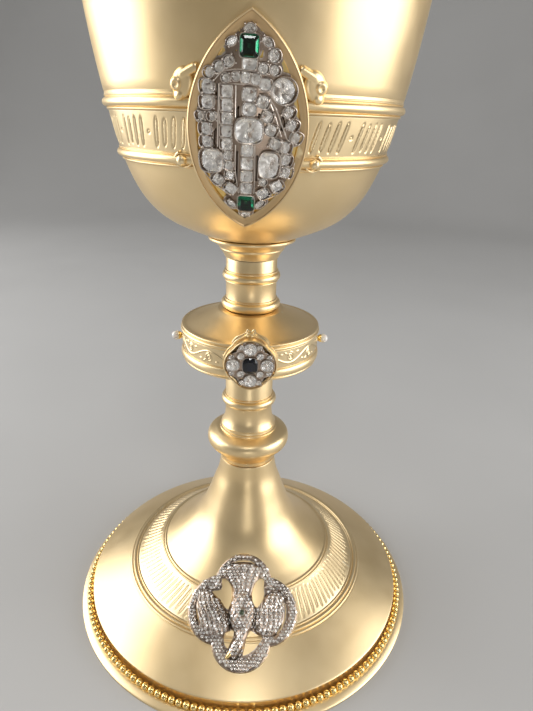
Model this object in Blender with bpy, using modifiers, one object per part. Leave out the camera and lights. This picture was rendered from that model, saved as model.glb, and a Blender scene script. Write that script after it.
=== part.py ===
"""Gilded chalice: a turned foot, stem, knop and cup, with jewelled brooches mounted on its front.

Metres, +Z up. The origin is the centre of the foot's underside, and the front faces -Y.
"""
import math

import bmesh
import bpy
from mathutils import Vector

# Fits
GAP = 0.0003
MERGE = 0.00001
TURNED_STEPS = 32
STEM_STEPS = 20
KNOP_STEPS = 28
FORM_RINGS = 5

# Foot: radii and heights above the table
FOOT_RADIUS = 0.0750
FOOT_WALL = 0.0013
FOOT_HEIGHT = 0.0680
FLANGE_EDGE_HEIGHT = 0.0007
FLANGE_HEIGHT = 0.0018
RISER_RADIUS = 0.0695
RISER_TOP = 0.0070
SKIRT_BULGE = 0.0005
STEP_RADIUS = 0.0525
STEP_HEIGHT = 0.0155
STEP_RISE = 0.0009
STEP_WIDTH = 0.0030
BAND_INNER_RADIUS = 0.0379
BAND_INNER_HEIGHT = 0.0245
BAND_FILLET = 0.0006
TRUMPET_FLARE_RADIUS = 0.0251
TRUMPET_FLARE_HEIGHT = 0.0345
TRUMPET_WAIST_RADIUS = 0.0160
TRUMPET_WAIST_HEIGHT = 0.0520
NECK_RADIUS = 0.0114

# Beading round the foot
BEAD_COUNT = 150
BEAD_DIAMETER = 0.0029
BEAD_GROOVE = 0.0006
BEAD_SIDES = 3

# Stem
STEM_RADIUS = 0.0096
LOWER_STEM_HEIGHT = 0.0407
TORUS_RADIUS = 0.0171
TORUS_MIDDLE = 0.0100
TORUS_HEIGHT = 0.0085
LIP_RADIUS = 0.0119
LIP_LEVEL = 0.0150
BELL_RADIUS = 0.0115
BELL_LEVEL = 0.0165
BELL_HEIGHT = 0.0055
LOWER_RING_RADIUS = 0.0112
LOWER_RING_LEVEL = 0.0276
LOWER_RING_HEIGHT = 0.0036
UPPER_STEM_HEIGHT = 0.0196
BASE_RING_RADIUS = 0.0113
BASE_RING_HEIGHT = 0.0040
MIDDLE_RING_RADIUS = 0.0110
MIDDLE_RING_LEVEL = 0.0138
MIDDLE_RING_HEIGHT = 0.0030
RING_FILLET = 0.0005

# Knop
KNOP_RADIUS = 0.0270
KNOP_HEIGHT = 0.0254
KNOP_END_RADIUS = 0.0120
KNOP_RIM_LEVEL = 0.0060
KNOP_RIM_HEIGHT = 0.0142
KNOP_LOWER_MOULDING = 0.0044
KNOP_UPPER_MOULDING = 0.0034
KNOP_BAND_DEPTH = 0.0008

# Collar under the cup
COLLAR_HEIGHT = 0.0074
COLLAR_RADIUS = 0.0161
COLLAR_STEP_RADIUS = 0.0119
COLLAR_STEP_LEVEL = 0.0034

# Cup
CUP_HEIGHT = 0.0896
CUP_WALL = 0.0012
CUP_SEAT_RADIUS = 0.0160
CUP_RIM_RADIUS = 0.0556
CUP_SHOULDER_RADIUS = 0.0505
CUP_SHOULDER_LEVEL = 0.0538
CUP_BOWL_RADIUS = 0.0431
CUP_BOWL_LEVEL = 0.0240
CUP_BELLY_RADIUS = 0.0330
CUP_BELLY_LEVEL = 0.0085
CUP_BAND_BOTTOM = 0.0298
CUP_BAND_TOP = 0.0406
CUP_MOULDING_HEIGHT = 0.0032
CUP_MOULDING_RISE = 0.0013
CUP_MOULDING_FILLET = 0.0007

# Pointed oval brooch on the cup
BROOCH_TURN = math.radians(-2.1)
BROOCH_LEAN = math.radians(2.0)
BROOCH_RAISE = 0.0015
BROOCH_WIDTH = 0.0321
BROOCH_LENGTH = 0.0545
BROOCH_RIM_WIDTH = 0.0024
BROOCH_RIM_HEIGHT = 0.0024
BROOCH_FLOOR = 0.0011
BROOCH_PLATE = 0.0010
BROOCH_PLATE_MARGIN = 0.0006
BROOCH_PLATE_STEPS = 8
BROOCH_SLICE = 0.0072
STONE_HEIGHT = 0.0009
STONE_PITCH = 0.0034
STONE_WIDTH = 0.0024
STONE_MARGIN = 0.00144
STONE_TABLE = 0.6
STONE_SIDES = 4
LARGE_STONE_HEIGHT = 0.0016
LARGE_STONE_SIDES = 8

# Larger stones of the pointed oval: name, place as shares of the rim's inner half width and
# half length, width, length and finish
LARGE_STONES = (
    ("emerald_upper", (-0.02, 0.80), 0.0046, 0.0050, "emerald"),
    ("emerald_lower", (0.02, -0.775), 0.0046, 0.0050, "emerald"),
    ("diamond_centre", (0.03, 0.02), 0.0074, 0.0066, "diamond"),
    ("diamond_upper_right", (0.61, 0.42), 0.0066, 0.0063, "diamond"),
    ("diamond_lower_left", (-0.65, -0.31), 0.0064, 0.0064, "diamond"),
    ("diamond_lower_right", (0.43, -0.32), 0.0058, 0.0073, "diamond"),
)

# Scroll terminals beside the pointed oval brooch: lobe 0 is the inner leaf and lobe 1 the outer
LEAF_LENGTHS = (0.0084, 0.0056)
LEAF_WIDTHS = (0.0036, 0.0030)
LEAF_OUTSETS = (-0.0002, 0.0019)
LEAF_RAISES = (0.0040, 0.0022)
LEAF_LEANS = (math.radians(32), math.radians(-5))
LEAF_RISE = 0.0018
BALL_DIAMETER = 0.0030
BALL_OUTSET = 0.0024

# Round jewel and pearls on the knop
JEWEL_RADIUS = 0.0094
JEWEL_LOBE = 0.0054
JEWEL_RIM_WIDTH = 0.0010
JEWEL_RIM_HEIGHT = 0.0016
JEWEL_BACK = 0.0035
JEWEL_STAND = 0.0014
JEWEL_PLATE = 0.0008
JEWEL_SMALL_STONE = 0.0021
SAPPHIRE_WIDTH = 0.0054
SAPPHIRE_LENGTH = 0.0060
JEWEL_STONE_DIAMETER = 0.0042
JEWEL_STONE_OFFSET = 0.0056
JEWEL_SMALL_OFFSET = 0.0064
PEARL_DIAMETER = 0.0036
PEARL_CUP_DIAMETER = 0.0026
PEARL_CUP_LENGTH = 0.0005

# Dove brooch on the foot
DOVE_TURN = math.radians(-1.0)
DOVE_RADIUS = 0.0430
DOVE_SIZE = 0.0440
DOVE_LOBE = 0.0124
DOVE_RIBBON = 0.0040
DOVE_RIBBON_HEIGHT = 0.0022
DOVE_TAIL_HEIGHT = 0.0028
DOVE_WING_HEIGHT = 0.0032
DOVE_BODY_HEIGHT = 0.0050
DOVE_HEAD_HEIGHT = 0.0046
DOVE_FORM_SEGMENTS = 10

# Dove's places and sizes as shares of the brooch's size: (across, along) from its middle
DOVE_BODY_PLACE = (0.0, 0.02)
DOVE_BODY_SHARE = (0.23, 0.50)
DOVE_NECK_PLACE = (-0.02, -0.19)
DOVE_NECK_SHARE = (0.13, 0.20)
DOVE_HEAD_PLACE = (-0.055, -0.295)
DOVE_HEAD_SHARE = (0.13, 0.20)
DOVE_HEAD_TURN = math.radians(-20)
DOVE_WING_PLACE = (0.26, -0.025)
DOVE_WING_SHARE = (0.31, 0.41)
DOVE_WING_TURN = math.radians(12)
DOVE_TAIL_OUTLINE = ((0.09, 0.14), (0.10, 0.24), (0.19, 0.31), (0.12, 0.39))

# Colours as linear red, green and blue
GILT = (0.83, 0.66, 0.38, 1.0)
POLISHED_GOLD = (0.85, 0.58, 0.22, 1.0)
SILVER = (0.62, 0.60, 0.58, 1.0)
EMERALD = (0.01, 0.16, 0.08, 1.0)
SAPPHIRE_BLUE = (0.01, 0.02, 0.09, 1.0)
DIAMOND = (0.86, 0.87, 0.90, 1.0)
PEARL = (0.88, 0.85, 0.80, 1.0)

# Heights of the pieces above the table
LOWER_STEM_Z = FOOT_HEIGHT + GAP
KNOP_Z = LOWER_STEM_Z + LOWER_STEM_HEIGHT + GAP
UPPER_STEM_Z = KNOP_Z + KNOP_HEIGHT + GAP
COLLAR_Z = UPPER_STEM_Z + UPPER_STEM_HEIGHT + GAP
CUP_Z = COLLAR_Z + COLLAR_HEIGHT + GAP


def clear_scene():
    for item in list(bpy.data.objects):
        bpy.data.objects.remove(item, do_unlink=True)


def new_collection(name):
    collection = bpy.data.collections.new(name)
    bpy.context.scene.collection.children.link(collection)
    return collection


def material(name, colour, metallic, roughness):
    made = bpy.data.materials.new(name)
    made.use_nodes = True
    shader = made.node_tree.nodes["Principled BSDF"]
    shader.inputs["Base Color"].default_value = colour
    shader.inputs["Metallic"].default_value = metallic
    shader.inputs["Roughness"].default_value = roughness
    made.diffuse_color = colour
    return made


# Profiles: lists of (radius, height) from the bottom up

def half_round(low, high, base, crest, steps=4):
    """Points of a moulding that swells from the radius base to the radius crest and back."""
    middle, reach = (low + high) / 2, (high - low) / 2
    angles = [math.pi * i / steps for i in range(steps + 1)]
    return [(base + (crest - base) * math.sin(a), middle - reach * math.cos(a)) for a in angles]


def smooth_through(points, steps=2):
    """Extra points on a Catmull-Rom curve through the given ones."""
    curve = []
    for i in range(len(points) - 1):
        before = points[max(i - 1, 0)]
        start, end = points[i], points[i + 1]
        after = points[min(i + 2, len(points) - 1)]
        for k in range(steps):
            t = k / steps
            curve.append(tuple(
                0.5 * (2 * s + (e - b) * t + (2 * b - 5 * s + 4 * e - a) * t * t
                       + (3 * s - b - 3 * e + a) * t ** 3)
                for b, s, e, a in zip(before, start, end, after)))
    return curve + [points[-1]]


def moved_along_normals(profile, distance):
    """The bottom-up profile moved outwards by a distance, or inwards by a negative one."""
    moved = []
    for i, (radius, height) in enumerate(profile):
        before = Vector(profile[max(i - 1, 0)])
        after = Vector(profile[min(i + 1, len(profile) - 1)])
        along = (after - before).normalized()
        moved.append((max(radius + along.y * distance, 0.0), height - along.x * distance))
    return moved


def raised(profile, height):
    return [(radius, z + height) for radius, z in profile]


def turned(name, outline, steps, collection, finish=None, is_cutter=False):
    """Solid of revolution whose outline runs down the outer side, from the axis to the axis."""
    mesh = bpy.data.meshes.new(name)
    edges = [(i, i + 1) for i in range(len(outline) - 1)]
    mesh.from_pydata([(radius, 0.0, z) for radius, z in outline], edges, [])
    item = bpy.data.objects.new(name, mesh)
    collection.objects.link(item)
    screw = item.modifiers.new("Screw", 'SCREW')
    screw.axis = 'Z'
    screw.steps = steps
    screw.render_steps = steps
    screw.use_merge_vertices = True
    screw.merge_threshold = MERGE
    if is_cutter:
        mark_cutter(item)
    else:
        mesh.materials.append(finish)
    return item


def mark_cutter(item):
    item.hide_render = True
    item.display_type = 'WIRE'


def outer_foot_profile():
    step_top = STEP_HEIGHT + STEP_RISE
    band_outer = STEP_RADIUS - STEP_WIDTH
    flange = [(FOOT_RADIUS, 0.0), (FOOT_RADIUS, FLANGE_EDGE_HEIGHT)]
    flange += [(RISER_RADIUS + BEAD_DIAMETER, FLANGE_HEIGHT), (RISER_RADIUS, FLANGE_HEIGHT)]
    middle = ((RISER_RADIUS + STEP_RADIUS) / 2, (RISER_TOP + STEP_HEIGHT) / 2 + SKIRT_BULGE)
    skirt = [(RISER_RADIUS, RISER_TOP), middle, (STEP_RADIUS, STEP_HEIGHT)]
    step = [(STEP_RADIUS - STEP_RISE / 3, step_top), (band_outer + STEP_RISE, step_top + STEP_RISE)]
    step.append((band_outer, step_top + STEP_RISE / 2))
    band = [(BAND_INNER_RADIUS, BAND_INNER_HEIGHT)]
    fillet_top = BAND_INNER_HEIGHT + 2 * BAND_FILLET
    fillet = [(BAND_INNER_RADIUS - BAND_FILLET / 2, fillet_top)]
    trumpet = smooth_through([
        (BAND_INNER_RADIUS - 2 * BAND_FILLET, fillet_top),
        (TRUMPET_FLARE_RADIUS, TRUMPET_FLARE_HEIGHT),
        (TRUMPET_WAIST_RADIUS, TRUMPET_WAIST_HEIGHT),
        (NECK_RADIUS, FOOT_HEIGHT)])
    return flange + skirt + step + band + fillet + trumpet


def inner_foot_profile():
    """Hollow underside, a wall's thickness inside the plain shape of the foot."""
    plain = [(RISER_RADIUS, 0.0), (RISER_RADIUS, RISER_TOP), (STEP_RADIUS, STEP_HEIGHT)]
    plain += [(BAND_INNER_RADIUS, BAND_INNER_HEIGHT), (TRUMPET_FLARE_RADIUS, TRUMPET_FLARE_HEIGHT)]
    plain += [(TRUMPET_WAIST_RADIUS, TRUMPET_WAIST_HEIGHT), (NECK_RADIUS, FOOT_HEIGHT)]
    inside = moved_along_normals(plain, -FOOT_WALL)
    inside[0] = (RISER_RADIUS - FOOT_WALL, 0.0)
    inside[-1] = (inside[-1][0], FOOT_HEIGHT - 2 * FOOT_WALL)
    return inside


def lower_stem_profile():
    torus_low = TORUS_MIDDLE - TORUS_HEIGHT / 2
    torus_high = TORUS_MIDDLE + TORUS_HEIGHT / 2
    torus_base = (NECK_RADIUS + LIP_RADIUS) / 2 + RING_FILLET
    profile = [(NECK_RADIUS, 0.0)]
    profile += half_round(torus_low, torus_high, torus_base, TORUS_RADIUS, 6)
    profile += [(LIP_RADIUS, LIP_LEVEL), (BELL_RADIUS - RING_FILLET, LIP_LEVEL + RING_FILLET)]
    profile += [(BELL_RADIUS, BELL_LEVEL), ((BELL_RADIUS + STEM_RADIUS) / 2, BELL_LEVEL + BELL_HEIGHT / 3)]
    profile += [(STEM_RADIUS, BELL_LEVEL + BELL_HEIGHT)]
    ring_low = LOWER_RING_LEVEL - LOWER_RING_HEIGHT / 2
    profile += half_round(ring_low, ring_low + LOWER_RING_HEIGHT, STEM_RADIUS, LOWER_RING_RADIUS)
    profile.append((STEM_RADIUS, LOWER_STEM_HEIGHT))
    return profile


def upper_stem_profile():
    ring_low = MIDDLE_RING_LEVEL - MIDDLE_RING_HEIGHT / 2
    ring_high = MIDDLE_RING_LEVEL + MIDDLE_RING_HEIGHT / 2
    fillet = STEM_RADIUS + RING_FILLET
    profile = half_round(0.0, BASE_RING_HEIGHT, STEM_RADIUS + RING_FILLET, BASE_RING_RADIUS)
    profile += [(STEM_RADIUS, BASE_RING_HEIGHT + RING_FILLET), (STEM_RADIUS, ring_low - RING_FILLET)]
    profile += half_round(ring_low, ring_high, fillet, MIDDLE_RING_RADIUS)
    profile += [(STEM_RADIUS, ring_high + RING_FILLET), (STEM_RADIUS, UPPER_STEM_HEIGHT)]
    return profile


def knop_profile():
    rim_top = KNOP_RIM_LEVEL + KNOP_RIM_HEIGHT
    band_radius = KNOP_RADIUS - KNOP_BAND_DEPTH
    band_low = KNOP_RIM_LEVEL + KNOP_LOWER_MOULDING
    band_high = rim_top - KNOP_UPPER_MOULDING
    edge = KNOP_RADIUS - KNOP_BAND_DEPTH / 2
    dome_radius = (KNOP_END_RADIUS + KNOP_RADIUS) / 2
    profile = [(KNOP_END_RADIUS, 0.0), (dome_radius, KNOP_RIM_LEVEL / 2 - KNOP_BAND_DEPTH)]
    profile += half_round(KNOP_RIM_LEVEL, band_low, edge - KNOP_BAND_DEPTH / 2, KNOP_RADIUS)
    profile += half_round(band_high, rim_top, band_radius, KNOP_RADIUS)
    profile += [(dome_radius, (rim_top + KNOP_HEIGHT) / 2 + KNOP_BAND_DEPTH), (KNOP_END_RADIUS, KNOP_HEIGHT)]
    return profile


def collar_profile():
    neck = STEM_RADIUS + RING_FILLET
    profile = [(neck, 0.0), (COLLAR_STEP_RADIUS - RING_FILLET, COLLAR_STEP_LEVEL / 2)]
    profile += [(COLLAR_STEP_RADIUS, COLLAR_STEP_LEVEL - RING_FILLET), (COLLAR_STEP_RADIUS, COLLAR_STEP_LEVEL)]
    profile += [(COLLAR_STEP_RADIUS + RING_FILLET, COLLAR_STEP_LEVEL + RING_FILLET)]
    profile += [((COLLAR_STEP_RADIUS + COLLAR_RADIUS) / 2 + RING_FILLET, COLLAR_HEIGHT - 3 * RING_FILLET)]
    profile += [(COLLAR_RADIUS, COLLAR_HEIGHT - RING_FILLET), (COLLAR_RADIUS, COLLAR_HEIGHT)]
    return profile


def plain_cup_profile():
    """The bowl without its mouldings."""
    return smooth_through([
        (CUP_SEAT_RADIUS, 0.0),
        (CUP_BELLY_RADIUS, CUP_BELLY_LEVEL),
        (CUP_BOWL_RADIUS, CUP_BOWL_LEVEL),
        (CUP_SHOULDER_RADIUS, CUP_SHOULDER_LEVEL),
        (CUP_RIM_RADIUS, CUP_HEIGHT)], 3)


def radius_at(profile, height):
    """Radius of a rising profile at a height."""
    for (radius_a, a), (radius_b, b) in zip(profile, profile[1:]):
        if a <= height <= b:
            return radius_a + (radius_b - radius_a) * (height - a) / (b - a)
    return profile[-1][0] if height > profile[-1][1] else profile[0][0]


def cup_moulding(plain, low, high):
    """Half-round moulding over the plain bowl, with its hollow fillet below it."""
    base_low = radius_at(plain, low)
    base_high = radius_at(plain, high)
    points = [(base_low, low - CUP_MOULDING_FILLET), (base_low + CUP_MOULDING_FILLET, low)]
    middle = (low + high) / 2
    crest = (base_low + base_high) / 2 + CUP_MOULDING_RISE
    points += [(crest, middle - CUP_MOULDING_FILLET / 2), (crest, middle + CUP_MOULDING_FILLET)]
    points.append((base_high, high))
    return points


def outer_cup_profile():
    plain = plain_cup_profile()
    lower = cup_moulding(plain, CUP_BAND_BOTTOM - CUP_MOULDING_HEIGHT, CUP_BAND_BOTTOM)
    upper = cup_moulding(plain, CUP_BAND_TOP, CUP_BAND_TOP + CUP_MOULDING_HEIGHT)
    under = [point for point in plain if point[1] < lower[0][1] - CUP_MOULDING_FILLET]
    over = [point for point in plain if point[1] > upper[-1][1] + CUP_MOULDING_FILLET]
    return under + lower + upper + over


def inner_cup_profile():
    plain = plain_cup_profile()
    inside = moved_along_normals(plain, -CUP_WALL)[::2]
    floor = [(0.0, 2 * CUP_WALL), (CUP_SEAT_RADIUS - CUP_WALL, 2 * CUP_WALL)]
    inside = [point for point in inside if point[1] > 3 * CUP_WALL]
    inside[-1] = (CUP_RIM_RADIUS - CUP_WALL, CUP_HEIGHT)
    return floor + inside


def solid_outline(profile):
    """Closes a bottom-up profile on the axis, and turns it to run down the outer side."""
    top, bottom = (0.0, profile[-1][1]), (0.0, profile[0][1])
    return [top] + profile[::-1] + [bottom]


def make_foot(collection, finish):
    outline = [(0.0, FOOT_HEIGHT)] + outer_foot_profile()[::-1]
    inside = inner_foot_profile()
    outline += inside + [(0.0, inside[-1][1])]
    return turned("foot", outline, TURNED_STEPS, collection, finish)


def make_stem_parts(collection, finish):
    parts = (("lower_stem", lower_stem_profile(), LOWER_STEM_Z, STEM_STEPS),
             ("knop", knop_profile(), KNOP_Z, KNOP_STEPS),
             ("upper_stem", upper_stem_profile(), UPPER_STEM_Z, STEM_STEPS),
             ("cup_collar", collar_profile(), COLLAR_Z, STEM_STEPS))
    for name, profile, level, steps in parts:
        turned(name, raised(solid_outline(profile), level), steps, collection, finish)


def make_cup(collection, finish):
    outline = inner_cup_profile() + outer_cup_profile()[::-1] + [(0.0, 0.0)]
    return turned("cup", raised(outline, CUP_Z), TURNED_STEPS, collection, finish)


def make_beading(collection, finish):
    """Ring of touching beads in the corner between the riser and the flange."""
    crest = BEAD_DIAMETER / 2
    centre_radius = RISER_RADIUS + GAP + crest
    centre_height = FLANGE_HEIGHT + GAP + crest
    rows = []
    work = bmesh.new()
    for i in range(2 * BEAD_COUNT):
        turn = math.pi * i / BEAD_COUNT
        reach = crest if i % 2 == 0 else crest - BEAD_GROOVE
        row = []
        for k in range(BEAD_SIDES):
            side = math.pi * (0.5 + 2 * k / BEAD_SIDES)
            radius = centre_radius + reach * math.cos(side)
            point = (radius * math.cos(turn), radius * math.sin(turn), centre_height + reach * math.sin(side))
            row.append(work.verts.new(point))
        rows.append(row)
    for i, row in enumerate(rows):
        following = rows[(i + 1) % len(rows)]
        for k in range(BEAD_SIDES):
            after = (k + 1) % BEAD_SIDES
            work.faces.new((row[k], following[k], following[after], row[after]))
    return object_from("foot_beading", work, collection, finish)


def object_from(name, work, collection, finish):
    """Turns a bmesh into an object whose faces point outwards."""
    bmesh.ops.remove_doubles(work, verts=work.verts, dist=MERGE)
    bmesh.ops.recalc_face_normals(work, faces=work.faces)
    mesh = bpy.data.meshes.new(name)
    work.to_mesh(mesh)
    work.free()
    item = bpy.data.objects.new(name, mesh)
    collection.objects.link(item)
    if finish is not None:
        mesh.materials.append(finish)
    return item


# Flat work: outlines in (across, along), raised by a height, and then bent onto a turned surface

def prism(work, outline, low, high, top_share=1.0):
    """Solid between two heights over an outline, whose top may be a smaller copy."""
    middle = sum((Vector(point) for point in outline), Vector((0.0, 0.0))) / len(outline)
    bottom = [work.verts.new((x, y, low)) for x, y in outline]
    top = [work.verts.new((*(middle + (Vector(point) - middle) * top_share), high)) for point in outline]
    work.faces.new(bottom[::-1])
    work.faces.new(top)
    for i in range(len(outline)):
        after = (i + 1) % len(outline)
        work.faces.new((bottom[i], bottom[after], top[after], top[i]))


def regular(centre, width, length, sides, turn=0.0):
    """Outline of a stone: a regular polygon stretched to a width and a length."""
    angles = [turn + 2 * math.pi * (i + 0.5) / sides for i in range(sides)]
    scale = 1 / math.cos(math.pi / sides)
    return [(centre[0] + scale * width / 2 * math.cos(a), centre[1] + scale * length / 2 * math.sin(a))
            for a in angles]


def oval_arc(inset):
    """Radius of the brooch's two arcs moved inwards, and how far their centres lie off the middle."""
    half_width, half_length = BROOCH_WIDTH / 2, BROOCH_LENGTH / 2
    radius = (half_width ** 2 + half_length ** 2) / (2 * half_width)
    return radius - inset, radius - half_width


def pointed_oval(inset, steps=12):
    """Outline of two equal arcs that meet in a point above and below, moved inwards."""
    radius, offset = oval_arc(inset)
    reach = math.acos(offset / radius)
    right = []
    for i in range(steps):
        angle = -reach + 2 * reach * i / steps
        right.append((radius * math.cos(angle) - offset, radius * math.sin(angle)))
    return right + [(-x, -y) for x, y in right]


def quatrefoil(size, lobe, steps=5):
    """Outline of four round lobes whose outer ends lie half the size from the centre."""
    outline = []
    centre = size / 2 - lobe
    meeting = (centre + math.sqrt(2 * lobe ** 2 - centre ** 2)) / 2
    half_turn = math.atan2(meeting, meeting - centre)
    for quarter in range(4):
        facing = math.pi / 2 * quarter
        for i in range(steps):
            angle = facing - half_turn + 2 * half_turn * i / steps
            outline.append((centre * math.cos(facing) + lobe * math.cos(angle),
                            centre * math.sin(facing) + lobe * math.sin(angle)))
    return outline


def ellipsoid(work, centre, size, turn=0.0, segments=8):
    """Rounded form with its centre, its size and a turn in the plane."""
    made = bmesh.ops.create_uvsphere(work, u_segments=segments, v_segments=FORM_RINGS, radius=0.5)
    for vert in made["verts"]:
        x, y, z = (c * s for c, s in zip(vert.co, size))
        vert.co = Vector((centre[0] + x * math.cos(turn) - y * math.sin(turn),
                          centre[1] + x * math.sin(turn) + y * math.cos(turn), centre[2] + z))


def boolean(item, other, operation, solver='EXACT'):
    cut = item.modifiers.new(operation.title(), 'BOOLEAN')
    cut.operation = operation
    cut.object = other
    cut.solver = solver


def applied(item):
    """Replaces an object's mesh by its evaluated one."""
    depsgraph = bpy.context.evaluated_depsgraph_get()
    mesh = bpy.data.meshes.new_from_object(item.evaluated_get(depsgraph))
    item.modifiers.clear()
    item.data = mesh


def flat_union(name, makers, guides):
    """Joins flat solids, each drawn by a function, into one guide mesh."""
    base = None
    for i, maker in enumerate(makers):
        work = bmesh.new()
        maker(work)
        piece = object_from(f"{name}_draft_{i}", work, guides, None)
        mark_cutter(piece)
        if base is None:
            base = piece
        else:
            boolean(base, piece, 'UNION')
    applied(base)
    work = bmesh.new()
    work.from_mesh(base.data)
    return work


def sliced(work, step, reach):
    """Cuts a flat mesh across and along, so that it can bend."""
    count = int(reach / step)
    for axis in range(2):
        for i in range(-count, count + 1):
            point, normal = Vector((0, 0, 0)), Vector((0, 0, 0))
            point[axis], normal[axis] = i * step, 1.0
            geometry = work.verts[:] + work.edges[:] + work.faces[:]
            bmesh.ops.bisect_plane(work, geom=geometry, dist=MERGE, plane_co=point, plane_no=normal)
    return work


class Seat:
    """Maps (across, along, height) onto a turned surface, from a level of its profile."""

    def __init__(self, profile, level, turn, lean=0.0):
        self.profile = profile
        self.turn = turn
        self.lean = lean
        self.lengths = [0.0]
        for a, b in zip(profile, profile[1:]):
            self.lengths.append(self.lengths[-1] + (Vector(b) - Vector(a)).length)
        self.start = self.length_at(level)

    def length_at(self, level):
        for i, (a, b) in enumerate(zip(self.profile, self.profile[1:])):
            if min(a[1], b[1]) <= level <= max(a[1], b[1]):
                share = (level - a[1]) / (b[1] - a[1]) if b[1] != a[1] else 0.0
                return self.lengths[i] + share * (self.lengths[i + 1] - self.lengths[i])
        return self.lengths[-1]

    def stretch_at(self, along):
        """Stretch of the profile at a distance from the start, and the share of it that lies below."""
        target = min(max(self.start + along, self.lengths[0]), self.lengths[-1])
        i = max(k for k, length in enumerate(self.lengths[:-1]) if length <= target)
        return i, (target - self.lengths[i]) / (self.lengths[i + 1] - self.lengths[i])

    def on_profile(self, along, height):
        """Radius and level at a distance along the profile and a height above it."""
        i, share = self.stretch_at(along)
        a, b = Vector(self.profile[i]), Vector(self.profile[i + 1])
        return a + (b - a) * share + self.normal_near(i, share) * height

    def place(self, across, along, height):
        """Point at a distance across and along the surface and a height above it."""
        across, along = (across * math.cos(self.lean) + along * math.sin(self.lean),
                         along * math.cos(self.lean) - across * math.sin(self.lean))
        radius, z = self.on_profile(along, height)
        angle = self.turn + math.asin(max(-1.0, min(1.0, across / radius)))
        return Vector((radius * math.sin(angle), -radius * math.cos(angle), z))

    def normal_near(self, i, share):
        """Outward normal, blended between the profile's stretches."""
        def of_stretch(k):
            k = min(max(k, 0), len(self.profile) - 2)
            along = Vector(self.profile[k + 1]) - Vector(self.profile[k])
            return Vector((along.y, -along.x)).normalized()
        if share < 0.5:
            blended = of_stretch(i) * (0.5 + share) + of_stretch(i - 1) * (0.5 - share)
        else:
            blended = of_stretch(i) * (1.5 - share) + of_stretch(i + 1) * (share - 0.5)
        return blended.normalized()

    def bend(self, work):
        for vert in work.verts:
            vert.co = self.place(*vert.co)
        return work


class ConeSeat(Seat):
    """Seat of a stiff plate, which bends without stretching onto the cone under its middle."""

    def __init__(self, profile, level, turn):
        super().__init__(profile, level, turn)
        i = self.stretch_at(0.0)[0]
        stretch = Vector(profile[i]) - Vector(profile[i + 1])
        self.narrowing = stretch.x / stretch.length
        self.apex = self.on_profile(0.0, 0.0).x / self.narrowing

    def place(self, across, along, height):
        to_apex = math.hypot(across, self.apex - along)
        radius, z = self.on_profile(self.apex - to_apex, height)
        angle = self.turn + math.atan2(across, self.apex - along) / self.narrowing
        return Vector((radius * math.sin(angle), -radius * math.cos(angle), z))


def trimmed(item, cutter, solver='EXACT'):
    """Cuts a mounted piece back to the surface that carries it."""
    boolean(item, cutter, 'DIFFERENCE', solver)
    return item


def carrier_cutter(name, profile, steps, guides):
    """The carrier's outer shape, grown by the gap that touching pieces keep."""
    grown = moved_along_normals(profile, GAP)
    return turned(name, solid_outline(grown), steps, guides, is_cutter=True)


def brooch_level():
    """Height of the pointed oval's middle above the cup's underside."""
    return (CUP_BAND_BOTTOM + CUP_BAND_TOP) / 2 + BROOCH_RAISE


def make_cup_brooch(collection, guides, finishes):
    """Pointed oval frame on the cup, with its silver cluster and its larger stones."""
    seat = Seat(raised(plain_cup_profile(), CUP_Z), CUP_Z + brooch_level(), BROOCH_TURN, BROOCH_LEAN)
    cutter = carrier_cutter("cup_seat", raised(outer_cup_profile(), CUP_Z), TURNED_STEPS, guides)
    floor_top = CUP_MOULDING_RISE + BROOCH_FLOOR
    rim_top = CUP_MOULDING_RISE + BROOCH_RIM_HEIGHT

    work = bmesh.new()
    prism(work, pointed_oval(0.0), -CUP_MOULDING_FILLET, rim_top)
    tray = object_from("frame_draft", work, guides, None)
    mark_cutter(tray)
    work = bmesh.new()
    prism(work, pointed_oval(BROOCH_RIM_WIDTH), floor_top, 2 * rim_top)
    hollow = object_from("frame_hollow", work, guides, None)
    mark_cutter(hollow)
    boolean(tray, hollow, 'DIFFERENCE')
    applied(tray)
    work = bmesh.new()
    work.from_mesh(tray.data)
    seat.bend(sliced(work, BROOCH_SLICE, BROOCH_LENGTH))
    trimmed(object_from("mandorla_frame", work, collection, finishes["gilt"]), cutter)

    plate_low = floor_top + GAP
    plate_high = plate_low + BROOCH_PLATE
    large = large_stones()

    def draw_plate(target):
        outline = pointed_oval(BROOCH_RIM_WIDTH + BROOCH_PLATE_MARGIN, BROOCH_PLATE_STEPS)
        prism(target, outline, plate_low, plate_high)

    def draw_small_stones(target):
        for centre in small_stone_places(large):
            outline = regular(centre, STONE_WIDTH, STONE_WIDTH, STONE_SIDES)
            prism(target, outline, plate_low + BROOCH_PLATE / 2, plate_high + STONE_HEIGHT, STONE_TABLE)

    work = flat_union("cluster", (draw_plate, draw_small_stones), guides)
    seat.bend(sliced(work, BROOCH_SLICE, BROOCH_LENGTH))
    object_from("mandorla_cluster", work, collection, finishes["silver"])
    for name, centre, width, length, finish in large:
        work = bmesh.new()
        low = plate_high + GAP
        outline = regular(centre, width, length, LARGE_STONE_SIDES)
        prism(work, outline, low, low + LARGE_STONE_HEIGHT, STONE_TABLE)
        seat.bend(work)
        object_from(name, work, collection, finishes[finish])
    make_terminals(collection, guides, finishes["gilt"], seat, cutter)


def large_stones():
    """Name, centre, width, length and finish of the larger stones of the pointed oval."""
    radius, offset = oval_arc(BROOCH_RIM_WIDTH)
    half_width, half_length = radius - offset, math.sqrt(radius ** 2 - offset ** 2)
    return [(name, (across * half_width, along * half_length), width, length, finish)
            for name, (across, along), width, length, finish in LARGE_STONES]


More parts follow.
